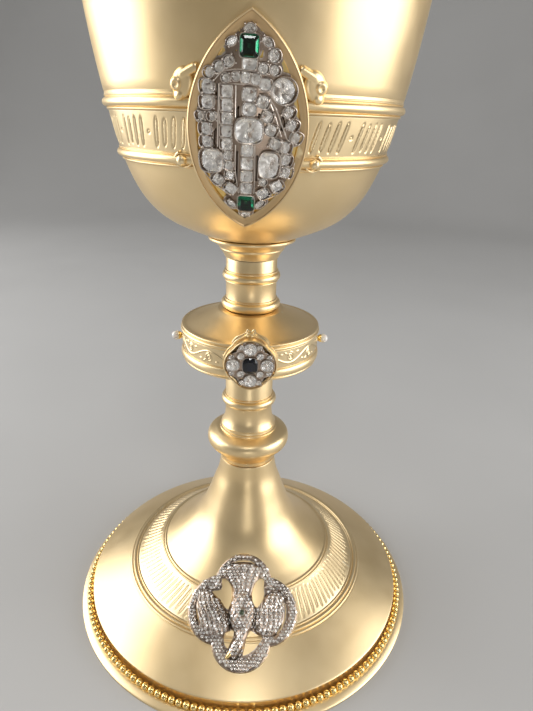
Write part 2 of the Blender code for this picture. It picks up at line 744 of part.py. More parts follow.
def small_stone_places(large):
    """Places on a close grid inside the pointed oval that the larger stones leave free."""
    radius, offset = oval_arc(BROOCH_RIM_WIDTH + BROOCH_PLATE_MARGIN + STONE_MARGIN)
    rows = int(2 * math.sqrt(radius ** 2 - offset ** 2) / STONE_PITCH) + 1
    places = []
    for row in range(rows):
        along = (row - (rows - 1) / 2) * STONE_PITCH
        half = math.sqrt(radius ** 2 - along ** 2) - offset
        columns = int(2 * half / STONE_PITCH) + 1
        for column in range(columns):
            across = (column - (columns - 1) / 2) * STONE_PITCH
            if all(is_clear((across, along), stone) for stone in large):
                places.append((across, along))
    return places


def is_clear(place, stone):
    """Whether a small stone at a place stays off a larger one."""
    centre, width, length = stone[1:4]
    near = STONE_WIDTH / 2 + GAP
    across = abs(place[0] - centre[0]) / (width / 2 + near)
    along = abs(place[1] - centre[1]) / (length / 2 + near)
    return across ** 2 + along ** 2 > 1.0


def make_terminals(collection, guides, finish, seat, cutter):
    """Leaf scrolls over the upper moulding and balls on the lower one, on both sides."""
    upright = Seat(seat.profile, CUP_Z + brooch_level(), BROOCH_TURN)
    outside = BROOCH_WIDTH / 2
    upper = CUP_BAND_TOP + CUP_MOULDING_HEIGHT - brooch_level()
    lower = CUP_BAND_BOTTOM - CUP_MOULDING_HEIGHT / 2 - brooch_level()
    work = bmesh.new()
    prism(work, pointed_oval(-GAP), -BROOCH_RIM_HEIGHT, 3 * BROOCH_RIM_HEIGHT)
    seat.bend(sliced(work, BROOCH_SLICE, BROOCH_LENGTH))
    frame_seat = object_from("mandorla_seat", work, guides, None)
    mark_cutter(frame_seat)
    for side, sign in (("left", -1), ("right", 1)):
        def draw_leaf(target, lobe):
            centre = (sign * (outside + LEAF_OUTSETS[lobe]), upper + LEAF_RAISES[lobe], CUP_MOULDING_RISE)
            size = (LEAF_WIDTHS[lobe], LEAF_LENGTHS[lobe], 2 * LEAF_RISE)
            ellipsoid(target, centre, size, sign * LEAF_LEANS[lobe])

        makers = [lambda target, lobe=lobe: draw_leaf(target, lobe) for lobe in range(len(LEAF_LENGTHS))]
        work = upright.bend(flat_union(f"leaf_{side}", makers, guides))
        leaf = object_from(f"leaf_terminal_{side}", work, collection, finish)
        trimmed(leaf, cutter)
        trimmed(leaf, frame_seat)
        work = bmesh.new()
        ellipsoid(work, (sign * (outside + BALL_OUTSET), lower, CUP_MOULDING_RISE), (BALL_DIAMETER,) * 3)
        upright.bend(work)
        ball = object_from(f"ball_terminal_{side}", work, collection, finish)
        trimmed(ball, cutter)
        trimmed(ball, frame_seat)


def face_front(work, level):
    """Stands flat work upright at a level, with its height turned towards the front."""
    for vert in work.verts:
        across, along, height = vert.co
        vert.co = Vector((across, -height, level + along))
    return work


def make_knop_jewel(collection, guides, finishes):
    """Lobed gold box on the knop's front, with its silver plate, sapphire and diamonds."""
    level = KNOP_Z + KNOP_RIM_LEVEL + KNOP_RIM_HEIGHT / 2
    cutter = carrier_cutter("knop_seat", raised(knop_profile(), KNOP_Z), KNOP_STEPS, guides)
    seat_reach = KNOP_RADIUS + JEWEL_STAND
    rim_reach = seat_reach + JEWEL_RIM_HEIGHT
    work = bmesh.new()
    outer = quatrefoil(2 * (JEWEL_RADIUS + JEWEL_RIM_WIDTH), JEWEL_LOBE + JEWEL_RIM_WIDTH)
    prism(work, outer, KNOP_RADIUS - JEWEL_BACK, rim_reach)
    box = object_from("knop_jewel_frame", face_front(work, level), collection, finishes["gilt"])
    work = bmesh.new()
    prism(work, quatrefoil(2 * JEWEL_RADIUS, JEWEL_LOBE), seat_reach - GAP, 2 * rim_reach)
    hollow = object_from("jewel_hollow", face_front(work, level), guides, None)
    mark_cutter(hollow)
    trimmed(box, hollow)
    trimmed(box, cutter)

    plate_high = seat_reach + JEWEL_PLATE
    margin = 2 * GAP

    def draw_plate(target):
        prism(target, quatrefoil(2 * (JEWEL_RADIUS - margin), JEWEL_LOBE - margin), seat_reach, plate_high)

    def draw_small_stones(target):
        for quarter in range(4):
            for offset in (-0.5, 0.5):
                spread = offset * (JEWEL_SMALL_STONE + GAP) / JEWEL_SMALL_OFFSET
                angle = math.pi / 2 * (quarter + 0.5) + spread
                centre = (JEWEL_SMALL_OFFSET * math.cos(angle), JEWEL_SMALL_OFFSET * math.sin(angle))
                outline = regular(centre, JEWEL_SMALL_STONE, JEWEL_SMALL_STONE, STONE_SIDES, angle)
                prism(target, outline, seat_reach + JEWEL_PLATE / 2, plate_high + STONE_HEIGHT, STONE_TABLE)

    work = face_front(flat_union("jewel", (draw_plate, draw_small_stones), guides), level)
    object_from("knop_jewel_cluster", work, collection, finishes["silver"])
    stones = [("sapphire", (0.0, 0.0), SAPPHIRE_WIDTH, SAPPHIRE_LENGTH, "sapphire")]
    for i, name in enumerate(("right", "top", "left", "bottom")):
        angle = math.pi / 2 * i
        centre = (JEWEL_STONE_OFFSET * math.cos(angle), JEWEL_STONE_OFFSET * math.sin(angle))
        stones.append((f"knop_diamond_{name}", centre, JEWEL_STONE_DIAMETER, JEWEL_STONE_DIAMETER, "diamond"))
    for name, centre, width, length, finish in stones:
        work = bmesh.new()
        low = plate_high + GAP
        outline = regular(centre, width, length, LARGE_STONE_SIDES)
        prism(work, outline, low, low + LARGE_STONE_HEIGHT, STONE_TABLE)
        object_from(name, face_front(work, level), collection, finishes[finish])
    make_pearls(collection, finishes, cutter, level)


def make_pearls(collection, finishes, cutter, level):
    """A pearl in a small cup on either side of the knop's band."""
    band_radius = KNOP_RADIUS - KNOP_BAND_DEPTH
    cup_end = band_radius + GAP + PEARL_CUP_LENGTH
    for side, sign in (("left", -1), ("right", 1)):
        work = bmesh.new()
        prism(work, regular((0.0, 0.0), PEARL_CUP_DIAMETER, PEARL_CUP_DIAMETER, 8),
              band_radius - KNOP_BAND_DEPTH, cup_end)
        for vert in work.verts:
            across, along, height = vert.co
            vert.co = Vector((sign * height, across, level + along))
        trimmed(object_from(f"pearl_cup_{side}", work, collection, finishes["polished"]), cutter)
        work = bmesh.new()
        centre = (sign * (cup_end + GAP + PEARL_DIAMETER / 2), 0.0, level)
        ellipsoid(work, centre, (PEARL_DIAMETER,) * 3)
        object_from(f"pearl_{side}", work, collection, finishes["pearl"])


def ring_between(work, outer, inner, low, high):
    """Flat ring between two outlines with the same number of points."""
    rows = [[work.verts.new((x, y, z)) for x, y in outline]
            for outline, z in ((outer, low), (outer, high), (inner, high), (inner, low))]
    for row, following in zip(rows, rows[1:] + rows[:1]):
        for i in range(len(row)):
            after = (i + 1) % len(row)
            work.faces.new((row[i], row[after], following[after], following[i]))


def make_dove(collection, guides, finishes):
    """Lobed ribbon ring with a descending dove, laid on the slope of the foot."""
    plain = smooth_through([
        (RISER_RADIUS, RISER_TOP),
        (STEP_RADIUS, STEP_HEIGHT),
        (BAND_INNER_RADIUS, BAND_INNER_HEIGHT),
        (TRUMPET_FLARE_RADIUS, TRUMPET_FLARE_HEIGHT),
        (TRUMPET_WAIST_RADIUS, TRUMPET_WAIST_HEIGHT)], 3)
    share = (STEP_RADIUS - DOVE_RADIUS) / (STEP_RADIUS - BAND_INNER_RADIUS)
    level = STEP_HEIGHT + (BAND_INNER_HEIGHT - STEP_HEIGHT) * share
    seat = ConeSeat(plain, level, DOVE_TURN)
    cutter = carrier_cutter("foot_seat", outer_foot_profile(), TURNED_STEPS, guides)
    inner_size = DOVE_SIZE - 2 * DOVE_RIBBON
    inner_lobe = DOVE_LOBE - DOVE_RIBBON
    sunk = -2 * STEP_RISE

    def draw_ring(target):
        ring_between(target, quatrefoil(DOVE_SIZE, DOVE_LOBE), quatrefoil(inner_size, inner_lobe),
                     sunk, DOVE_RIBBON_HEIGHT)

    def draw_form(target, place, share, height, turn=0.0):
        ellipsoid(target, (place[0] * DOVE_SIZE, place[1] * DOVE_SIZE, 0.0),
                  (share[0] * DOVE_SIZE, share[1] * DOVE_SIZE, 2 * height), turn, DOVE_FORM_SEGMENTS)

    def draw_tail(target):
        right = [(x * DOVE_SIZE, y * DOVE_SIZE) for x, y in DOVE_TAIL_OUTLINE]
        prism(target, right + [(-x, y) for x, y in right[::-1]], sunk, DOVE_TAIL_HEIGHT)

    def draw_wing(target, sign):
        draw_form(target, (sign * DOVE_WING_PLACE[0], DOVE_WING_PLACE[1]), DOVE_WING_SHARE,
                  DOVE_WING_HEIGHT, -sign * DOVE_WING_TURN)

    makers = (
        draw_ring, draw_tail,
        lambda target: draw_form(target, DOVE_BODY_PLACE, DOVE_BODY_SHARE, DOVE_BODY_HEIGHT),
        lambda target: draw_form(target, DOVE_NECK_PLACE, DOVE_NECK_SHARE, DOVE_HEAD_HEIGHT),
        lambda target: draw_form(target, DOVE_HEAD_PLACE, DOVE_HEAD_SHARE, DOVE_HEAD_HEIGHT, DOVE_HEAD_TURN),
        lambda target: draw_wing(target, -1),
        lambda target: draw_wing(target, 1))
    work = seat.bend(flat_union("dove", makers, guides))
    trimmed(object_from("dove_brooch", work, collection, finishes["silver"]), cutter, 'MANIFOLD')


def build():
    clear_scene()
    collection = new_collection("chalice")
    guides = new_collection("guides")
    finishes = {
        "gilt": material("gilt", GILT, 1.0, 0.38),
        "polished": material("polished_gold", POLISHED_GOLD, 1.0, 0.15),
        "silver": material("silver", SILVER, 1.0, 0.3),
        "emerald": material("emerald", EMERALD, 0.0, 0.05),
        "sapphire": material("sapphire", SAPPHIRE_BLUE, 0.0, 0.05),
        "diamond": material("diamond", DIAMOND, 0.0, 0.05),
        "pearl": material("pearl", PEARL, 0.0, 0.2),
    }
    make_foot(collection, finishes["gilt"])
    make_beading(collection, finishes["polished"])
    make_stem_parts(collection, finishes["gilt"])
    make_cup(collection, finishes["gilt"])
    make_cup_brooch(collection, guides, finishes)
    make_knop_jewel(collection, guides, finishes)
    make_dove(collection, guides, finishes)


build()
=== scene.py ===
"""Dressed chalice: turned gilt bodies, chased bands, gem-set brooches, floor, light and camera.

Lengths are in millimetres until a mesh is made, and meshes are in metres in the frame's axes.
The front of the chalice faces -Y. Angles round the axis start there and grow towards +X.
"""
import math
import random

import bmesh
import bpy
import numpy as np
from mathutils import Matrix, Vector


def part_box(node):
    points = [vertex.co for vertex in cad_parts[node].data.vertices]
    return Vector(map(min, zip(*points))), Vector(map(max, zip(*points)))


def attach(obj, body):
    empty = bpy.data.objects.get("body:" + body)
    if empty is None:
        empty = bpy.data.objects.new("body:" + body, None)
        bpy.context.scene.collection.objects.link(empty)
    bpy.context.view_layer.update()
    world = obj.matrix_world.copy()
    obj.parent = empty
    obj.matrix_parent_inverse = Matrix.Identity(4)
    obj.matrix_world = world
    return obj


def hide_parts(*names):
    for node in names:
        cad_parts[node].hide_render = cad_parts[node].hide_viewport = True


MM = 0.001
ROUND_STEPS = 232
STEM_STEPS = 160
CORNER = 0.35

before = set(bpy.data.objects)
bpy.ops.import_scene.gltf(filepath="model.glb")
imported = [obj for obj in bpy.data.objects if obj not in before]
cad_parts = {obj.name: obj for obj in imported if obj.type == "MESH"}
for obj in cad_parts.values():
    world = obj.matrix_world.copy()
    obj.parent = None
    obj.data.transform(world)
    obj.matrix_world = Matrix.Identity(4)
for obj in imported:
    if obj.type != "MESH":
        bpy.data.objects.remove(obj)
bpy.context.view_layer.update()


def base_of(node):
    """Height of a frame node's underside in millimetres."""
    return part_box(node)[0].z / MM


def top_of(node):
    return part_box(node)[1].z / MM


# Materials

def socket_set(shader, **values):
    for name, value in values.items():
        shader.inputs[name.replace("_", " ")].default_value = value


def new_material(name):
    made = bpy.data.materials.new(name)
    made.use_nodes = True
    nodes = made.node_tree.nodes
    nodes.clear()
    output = nodes.new("ShaderNodeOutputMaterial")
    shader = nodes.new("ShaderNodeBsdfPrincipled")
    made.node_tree.links.new(shader.outputs["BSDF"], output.inputs["Surface"])
    return made, made.node_tree, shader


def noise(tree, scale, detail=3.0, stretch=None):
    """Noise over the object's own coordinates, with a scale in waves a metre."""
    coordinates = tree.nodes.new("ShaderNodeTexCoord")
    texture = tree.nodes.new("ShaderNodeTexNoise")
    texture.inputs["Scale"].default_value = scale
    texture.inputs["Detail"].default_value = detail
    source = coordinates.outputs["Object"]
    if stretch is not None:
        mapping = tree.nodes.new("ShaderNodeMapping")
        mapping.inputs["Scale"].default_value = stretch
        tree.links.new(source, mapping.inputs["Vector"])
        source = mapping.outputs["Vector"]
    tree.links.new(source, texture.inputs["Vector"])
    return texture.outputs["Fac"]


def ramp(tree, source, stops):
    """Colour ramp with (place, colour) stops."""
    node = tree.nodes.new("ShaderNodeValToRGB")
    elements = node.color_ramp.elements
    while len(elements) < len(stops):
        elements.new(0.5)
    for element, (place, colour) in zip(elements, stops):
        element.position = place
        element.color = (*colour, 1.0)
    tree.links.new(source, node.inputs["Fac"])
    return node.outputs["Color"]


def spread(tree, source, low, high, low_in=0.3, high_in=0.7):
    """Maps a texture's middle range onto a range of values."""
    node = tree.nodes.new("ShaderNodeMapRange")
    node.inputs["From Min"].default_value = low_in
    node.inputs["From Max"].default_value = high_in
    node.inputs["To Min"].default_value = low
    node.inputs["To Max"].default_value = high
    tree.links.new(source, node.inputs["Value"])
    return node.outputs["Result"]


def bump(tree, source, depth_mm, strength=1.0, base=None):
    node = tree.nodes.new("ShaderNodeBump")
    node.inputs["Distance"].default_value = depth_mm * MM
    node.inputs["Strength"].default_value = strength
    tree.links.new(source, node.inputs["Height"])
    if base is not None:
        tree.links.new(base, node.inputs["Normal"])
    return node.outputs["Normal"]


def mixed(tree, share, colour_a, colour_b):
    """Mixes two colour outputs by a share output."""
    node = tree.nodes.new("ShaderNodeMix")
    node.data_type = 'RGBA'
    tree.links.new(share, node.inputs["Factor"])
    tree.links.new(colour_a, node.inputs["A"])
    tree.links.new(colour_b, node.inputs["B"])
    return node.outputs["Result"]


def metal(name, light, dark, worn, rough, grain_mm, grain_depth, lines=0.0, hollows=None):
    """Metal with slow changes of colour, fine grain, polishing lines and lighter worn edges."""
    made, tree, shader = new_material(name)
    socket_set(shader, Metallic=1.0)
    body = ramp(tree, noise(tree, 45.0, 4.0), ((0.30, dark), (0.68, light)))
    geometry = tree.nodes.new("ShaderNodeNewGeometry")
    edge = spread(tree, geometry.outputs["Pointiness"], 0.0, 1.0, 0.51, 0.60)
    body = mixed(tree, edge, body, ramp(tree, edge, ((0.0, worn), (1.0, worn))))
    if hollows:
        deep = spread(tree, geometry.outputs["Pointiness"], 1.0, 0.0, 0.40, 0.495)
        body = mixed(tree, deep, body, ramp(tree, deep, ((0.0, hollows), (1.0, hollows))))
    tree.links.new(body, shader.inputs["Base Color"])
    tree.links.new(spread(tree, noise(tree, 90.0, 3.0), *rough, 0.25, 0.75), shader.inputs["Roughness"])
    normal = bump(tree, noise(tree, 1.0 / (grain_mm * MM), 2.0), grain_depth)
    if lines:
        turned = noise(tree, 1.0, 2.0, (30.0, 30.0, 2600.0))
        normal = bump(tree, turned, lines, base=normal)
    tree.links.new(normal, shader.inputs["Normal"])
    return made


def stone(name, colour, index, body=1.0, rough=0.015, cloud=0.04):
    """Clear faceted stone with faint clouds in its gloss. A body below 1 lets light reach its foil."""
    made, tree, shader = new_material(name)
    socket_set(shader, Transmission_Weight=1.0, IOR=index, Alpha=body)
    tint = tuple(c * (1.0 - cloud) for c in colour)
    clouded = ramp(tree, noise(tree, 500.0), ((0.35, tint), (0.65, colour)))
    tree.links.new(clouded, shader.inputs["Base Color"])
    tree.links.new(spread(tree, noise(tree, 900.0), rough, rough * 3), shader.inputs["Roughness"])
    return made


def make_pearl_finish():
    made, tree, shader = new_material("pearl_lustre")
    socket_set(shader, Coat_Weight=0.7, Coat_Roughness=0.12, Subsurface_Weight=0.25)
    shader.inputs["Subsurface Radius"].default_value = (0.0008, 0.0006, 0.0005)
    body = ramp(tree, noise(tree, 500.0, 3.0), ((0.3, (0.80, 0.74, 0.66)), (0.7, (0.93, 0.90, 0.86))))
    tree.links.new(body, shader.inputs["Base Color"])
    tree.links.new(spread(tree, noise(tree, 900.0), 0.16, 0.28), shader.inputs["Roughness"])
    tree.links.new(bump(tree, noise(tree, 1500.0), 0.02), shader.inputs["Normal"])
    return made


def make_floor_finish():
    made, tree, shader = new_material("pale_floor")
    body = ramp(tree, noise(tree, 3.0, 4.0), ((0.3, (0.50, 0.495, 0.485)), (0.7, (0.54, 0.535, 0.525))))
    tree.links.new(body, shader.inputs["Base Color"])
    tree.links.new(spread(tree, noise(tree, 12.0), 0.55, 0.7), shader.inputs["Roughness"])
    return made


FINISH = {
    "gilt": metal("gilt_satin", (0.94, 0.735, 0.43), (0.88, 0.66, 0.35), (0.96, 0.80, 0.52),
                  (0.33, 0.39), 0.25, 0.004, 0.003),
    "chased": metal("gilt_chased", (0.94, 0.75, 0.45), (0.84, 0.64, 0.36), (0.98, 0.85, 0.58),
                    (0.30, 0.38), 0.35, 0.008, 0.0, (0.42, 0.26, 0.10)),
    "inside": metal("gilt_inside", (0.95, 0.72, 0.36), (0.90, 0.64, 0.28), (0.95, 0.80, 0.52),
                    (0.20, 0.28), 0.4, 0.003, 0.003),
    "polished": metal("gold_polished", (0.95, 0.67, 0.24), (0.88, 0.56, 0.15), (0.98, 0.78, 0.38),
                      (0.10, 0.17), 0.5, 0.003),
    "rim": metal("gilt_frame", (0.90, 0.69, 0.39), (0.82, 0.60, 0.31), (0.97, 0.82, 0.52),
                 (0.26, 0.34), 0.25, 0.006),
    "matt": metal("gilt_matt", (0.68, 0.48, 0.26), (0.58, 0.40, 0.20), (0.95, 0.77, 0.46),
                  (0.40, 0.48), 0.25, 0.006),
    "silver": metal("silver_aged", (0.40, 0.31, 0.24), (0.18, 0.13, 0.095), (0.84, 0.76, 0.68),
                    (0.20, 0.36), 0.3, 0.008, 0.0, (0.05, 0.033, 0.021)),
    "foil": metal("silver_foil", (0.98, 0.95, 0.90), (0.90, 0.86, 0.80), (0.98, 0.97, 0.95),
                  (0.22, 0.34), 0.4, 0.004),
    "diamond": stone("diamond_clear", (1.0, 0.99, 0.98), 2.2, 0.35),
    "emerald": stone("emerald_clear", (0.005, 0.20, 0.09), 1.50),
    "breast": stone("emerald_pale", (0.55, 0.72, 0.60), 1.50),
    "sapphire": stone("sapphire_clear", (0.01, 0.02, 0.09), 1.60),
    "pearl": make_pearl_finish(),
    "floor": make_floor_finish(),
}


# Meshes

def make_object(name, points, faces, finish, sharp=None, merge=False):
    """Mesh object from points in millimetres; flat-shaded unless an angle for sharp edges is given."""
    mesh = bpy.data.meshes.new(name)
    mesh.from_pydata((np.asarray(points, float) * MM).tolist(), [], faces)
    if merge:
        work = bmesh.new()
        work.from_mesh(mesh)
        bmesh.ops.remove_doubles(work, verts=work.verts, dist=1e-7)
        work.to_mesh(mesh)
        work.free()
    if sharp is not None:
        mesh.shade_smooth()
        mesh.set_sharp_from_angle(angle=math.radians(sharp))
    mesh.materials.append(FINISH[finish])
    item = bpy.data.objects.new(name, mesh)
    bpy.context.scene.collection.objects.link(item)
    return item


def dress(item, finish, *nodes):
    """Rides on the body and takes the place of frame nodes."""
    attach(item, "root")
    if nodes:
        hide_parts(*nodes)


def piece(name, form, finish, *nodes, sharp=None):
    """Dressed object from a form, which is a pair of points and faces."""
    dress(make_object(name, *form, finish, sharp), finish, *nodes)


class Gather:
    """Collects many small forms into one mesh."""

    def __init__(self):
        self.points = []
        self.faces = []
        self.count = 0

    def add(self, points, faces):
        self.points.append(np.asarray(points, float))
        self.faces += [tuple(i + self.count for i in face) for face in faces]
        self.count += len(points)

    def made(self, name, finish, *nodes, sharp=None):
        piece(name, (np.concatenate(self.points), self.faces), finish, *nodes, sharp=sharp)


def loft(rings, closed=False, caps=(True, True), triangles=False):
    """Faces that join rings with equal counts, whose points run anticlockwise seen from above."""
    count = len(rings[0])
    faces = []
    last = len(rings) if closed else len(rings) - 1
    for i in range(last):
        low, high = i * count, ((i + 1) % len(rings)) * count
        for k in range(count):
            after = (k + 1) % count
            if triangles:
                faces += [(low + k, low + after, high + k), (low + after, high + after, high + k)]
            else:
                faces.append((low + k, low + after, high + after, high + k))
    if not closed:
        if caps[0]:
            faces.append(tuple(range(count))[::-1])
        if caps[1]:
            faces.append(tuple(range(last * count, (last + 1) * count)))
    return np.concatenate(rings), faces


def ball(radius, slices, turns, pole):
    """Ball of rings between two small flat poles. Each pole takes a share of the half turn."""
    angles = np.arange(turns) * 2 * math.pi / turns
    rings = []
    for i in range(slices + 1):
        tilt = -math.pi / 2 + math.pi * max(pole, min(1.0 - pole, i / slices))
        reach = radius * math.cos(tilt)
        rings.append(np.column_stack([reach * np.cos(angles), reach * np.sin(angles),
                                      np.full(turns, radius * math.sin(tilt))]))
    return loft(rings)


# Turned bodies: outlines of (radius, height) that run up the outer side

def smooth_through(points, steps=8):
    """Catmull-Rom curve through the points."""
    curve = []
    for i in range(len(points) - 1):
        before, start = points[max(i - 1, 0)], points[i]
        end, after = points[i + 1], points[min(i + 2, len(points) - 1)]
        for k in range(steps):
            t = k / steps
            curve.append(tuple(
                0.5 * (2 * s + (e - b) * t + (2 * b - 5 * s + 4 * e - a) * t * t
                       + (3 * s - b - 3 * e + a) * t ** 3)
                for b, s, e, a in zip(before, start, end, after)))
    return curve + [points[-1]]


def half_round(low, high, base_low, base_high, crest, steps=12):
    """Moulding that swells to a crest between two levels."""
    points = []
    for i in range(steps + 1):
        angle = math.pi * i / steps
        share = (1 - math.cos(angle)) / 2
        base = base_low + (base_high - base_low) * share
        points.append((base + (crest - base) * math.sin(angle), low + (high - low) * share))
    return points


def softened(points, radius=CORNER, least=math.radians(20)):
    """Rounds the sharp corners of an outline a little."""
    result = [points[0]]
    for before, corner, after in zip(points, points[1:], points[2:]):
        a, b, c = Vector(before), Vector(corner), Vector(after)
        if (b - a).length < 1e-6 or (c - b).length < 1e-6 or (b - a).angle(c - b) < least:
            result.append(corner)
            continue
        cut = min(radius, 0.4 * (b - a).length, 0.4 * (c - b).length)
        start = b + (a - b).normalized() * cut
        end = b + (c - b).normalized() * cut
        result += [tuple(start), tuple((start + 2 * b + end) / 4), tuple(end)]
    return result + [points[-1]]


def offset_inwards(profile, distance):
    """A rising outline moved towards the axis by a distance along its normals."""
    moved = []
    for i in range(len(profile)):
        before, after = Vector(profile[max(i - 1, 0)]), Vector(profile[min(i + 1, len(profile) - 1)])
        along = (after - before).normalized()
        moved.append((profile[i][0] - along.y * distance, profile[i][1] + along.x * distance))
    return moved


def along_outline(rows):
    """Length at each point of an outline, and its unit tangents."""
    lengths = np.concatenate([[0.0], np.cumsum(np.linalg.norm(np.diff(rows, axis=0), axis=1))])
    tangents = np.gradient(rows, lengths, axis=0)
    return lengths, tangents / np.linalg.norm(tangents, axis=1)[:, None]


def on_circle(radius, angle, level):
    """Points round the axis, with angles that start at the front."""
    return np.stack([radius * np.sin(angle), -radius * np.cos(angle), level], axis=-1)


def lathe(name, rows, steps, finish, closed=False, sharp=32, heights=None):
    """Turned body. rows holds (radius, height), or radii for each angle where heights are given."""
    if heights is None:
        radii = np.array([row[0] for row in rows])[:, None] * np.ones(steps)
        heights = np.array([row[1] for row in rows])[:, None] * np.ones(steps)
    else:
        radii = rows
    points = on_circle(radii, np.arange(steps) * 2 * math.pi / steps, heights)
    count = len(radii)
    faces = []
    for i in range(count if closed else count - 1):
        low, high = i * steps, ((i + 1) % count) * steps
        faces += [(low + k, low + (k + 1) % steps, high + (k + 1) % steps, high + k) for k in range(steps)]
    return make_object(name, points.reshape(-1, 3), faces, finish, sharp, merge=not closed)


def relief_band(name, profile, steps, depth, back=0.5):
    """Closed chased ring whose outer side is a stretch of a profile with a relief on it."""
    rows = np.array(profile)
    along, tangent = along_outline(rows)
    angles = np.arange(steps) / steps
    raised = depth(angles[None, :], along[:, None])
    radii = rows[:, :1] + tangent[:, 1:] * raised
    heights = rows[:, 1:] - tangent[:, :1] * raised
    for row, normal in ((rows[-1], tangent[-1]), (rows[0], tangent[0])):
        radii = np.vstack([radii, np.full(steps, row[0] - normal[1] * back)])
        heights = np.vstack([heights, np.full(steps, row[1] + normal[0] * back)])
    dress(lathe(name, radii, steps, "chased", closed=True, sharp=60, heights=heights), "chased")


# Surfaces that carry brooches

def same_shape(*values):
    return np.broadcast_arrays(*(np.asarray(value, float) for value in values))


class Surface:
    """Maps (across, along, height) in millimetres onto a turned surface."""

    def __init__(self, profile, level, turn=0.0, lean=0.0):
        rows = np.array(profile)
        self.lengths, tangents = along_outline(rows)
        self.columns = (rows[:, 0], rows[:, 1], tangents[:, 1], -tangents[:, 0])
        self.start = float(np.interp(level, rows[:, 1], self.lengths))
        self.turn, self.lean = turn, lean

    def read(self, along):
        """Radius, level and the two parts of the normal at a length along the outline."""
        return [np.interp(along, self.lengths, column) for column in self.columns]

    def lifted(self, along, height):
        """Radius and level at a length along the outline and a height above it."""
        radius, level, outward, upward = self.read(along)
        return radius + outward * height, level + upward * height

    def place(self, across, along, height):
        across, along, height = same_shape(across, along, height)
        cos, sin = math.cos(self.lean), math.sin(self.lean)
        across, along = across * cos + along * sin, along * cos - across * sin
        radius, level = self.lifted(self.start + along, height)
        return on_circle(radius, self.turn + np.arcsin(np.clip(across / radius, -1.0, 1.0)), level)

    def put(self, form, centre, height, turn=0.0, slope=(0.0, 0.0)):
        """Rigid copy of a form at a place, turned and tilted with the relief's slope."""
        reach = 0.1
        origin = self.place(centre[0], centre[1], height)
        side = self.place(centre[0] + reach, centre[1], height + slope[0] * reach) - origin
        up = self.place(centre[0], centre[1] + reach, height + slope[1] * reach) - origin
        side /= np.linalg.norm(side)
        outward = np.cross(side, up)
        outward /= np.linalg.norm(outward)
        up = np.cross(outward, side)
        points = np.asarray(form[0], float)
        x = points[:, 0] * math.cos(turn) - points[:, 1] * math.sin(turn)
        y = points[:, 0] * math.sin(turn) + points[:, 1] * math.cos(turn)
        return origin + x[:, None] * side + y[:, None] * up + points[:, 2:] * outward, form[1]


class Front:
    """Upright plane in front of the knop, with the height measured from the axis."""

    def __init__(self, level):
        self.level = level

    def place(self, across, along, height):
        across, along, height = same_shape(across, along, height)
        return np.stack([across, -height, self.level + along], axis=-1)

    put = Surface.put


def relief(name, carrier, half_width, half_length, step, form, finish, base, *nodes, sharp=40):
    """Closed piece over a flat form, which gives the distance outside its outline and its height."""
    xs = np.linspace(-half_width, half_width, int(2 * half_width / step) + 1)
    ys = np.linspace(-half_length, half_length, int(2 * half_length / step) + 1)
    x, y = np.meshgrid(xs, ys)
    outside = form(x, y)[0]
    small = 0.03
    slope_x = (form(x + small, y)[0] - form(x - small, y)[0]) / (2 * small)
    slope_y = (form(x, y + small)[0] - form(x, y - small)[0]) / (2 * small)
    steep = np.maximum(slope_x ** 2 + slope_y ** 2, 0.25)
    near = np.abs(outside) < 0.75 * step
    x = np.where(near, x - outside * slope_x / steep, x)
    y = np.where(near, y - outside * slope_y / steep, y)
    height = form(x, y)[1]
    corners = np.stack([outside[:-1, :-1], outside[:-1, 1:], outside[1:, 1:], outside[1:, :-1]])
    kept = (corners.max(0) < 0.75 * step) & (corners.mean(0) < 0.1 * step)
    index = np.arange(x.size).reshape(x.shape)
    cells = np.stack([index[:-1, :-1], index[:-1, 1:], index[1:, 1:], index[1:, :-1]], axis=-1)[kept]
    used, flat = np.unique(cells, return_inverse=True)
    across, along = x.ravel()[used], y.ravel()[used]
    top = carrier.place(across, along, height.ravel()[used])
    bottom = carrier.place(across, along, base)
    count = len(used)
    faces = flat.reshape(cells.shape).tolist()
    edges = {(a, b) for cell in faces for a, b in zip(cell, cell[1:] + cell[:1])}
    walls = [(b, a, a + count, b + count) for a, b in sorted(edges) if (b, a) not in edges]
    under = [tuple(i + count for i in cell[::-1]) for cell in faces]
    piece(name, (np.concatenate([top, bottom]), faces + under + walls), finish, *nodes, sharp=sharp)


# Distances outside flat outlines, in millimetres

def from_ellipse(x, y, centre, half, turn=0.0):
    cos, sin = math.cos(turn), math.sin(turn)
    dx, dy = x - centre[0], y - centre[1]
    u, v = dx * cos + dy * sin, dy * cos - dx * sin
    share = np.sqrt((u / half[0]) ** 2 + (v / half[1]) ** 2) + 1e-9
    pull = np.sqrt((u / half[0] ** 2) ** 2 + (v / half[1] ** 2) ** 2) + 1e-9
    return share * (share - 1.0) / pull


def from_segment(x, y, start, end):
    """Distance to a straight line between two points, and the share along it."""
    dx, dy = end[0] - start[0], end[1] - start[1]
    share = np.clip(((x - start[0]) * dx + (y - start[1]) * dy) / (dx * dx + dy * dy), 0.0, 1.0)
    return np.hypot(x - start[0] - share * dx, y - start[1] - share * dy), share


def from_polygon(x, y, corners):
    nearest = np.full(np.shape(x), 1e9)
    inside = np.zeros(np.shape(x), bool)
    for (ax, ay), (bx, by) in zip(corners, corners[1:] + corners[:1]):
        nearest = np.minimum(nearest, from_segment(x, y, (ax, ay), (bx, by))[0])
        crosses = (ay > y) != (by > y)
        inside ^= crosses & (x < (bx - ax) * (y - ay) / (by - ay + 1e-12) + ax)
    return np.where(inside, -nearest, nearest)


def dome(outside, width, rise):
    """Rounded height that grows from an outline inwards."""
    share = np.clip(-outside / width, 0.0, 1.0)
    return rise * np.sqrt(1.0 - (1.0 - share) ** 2)


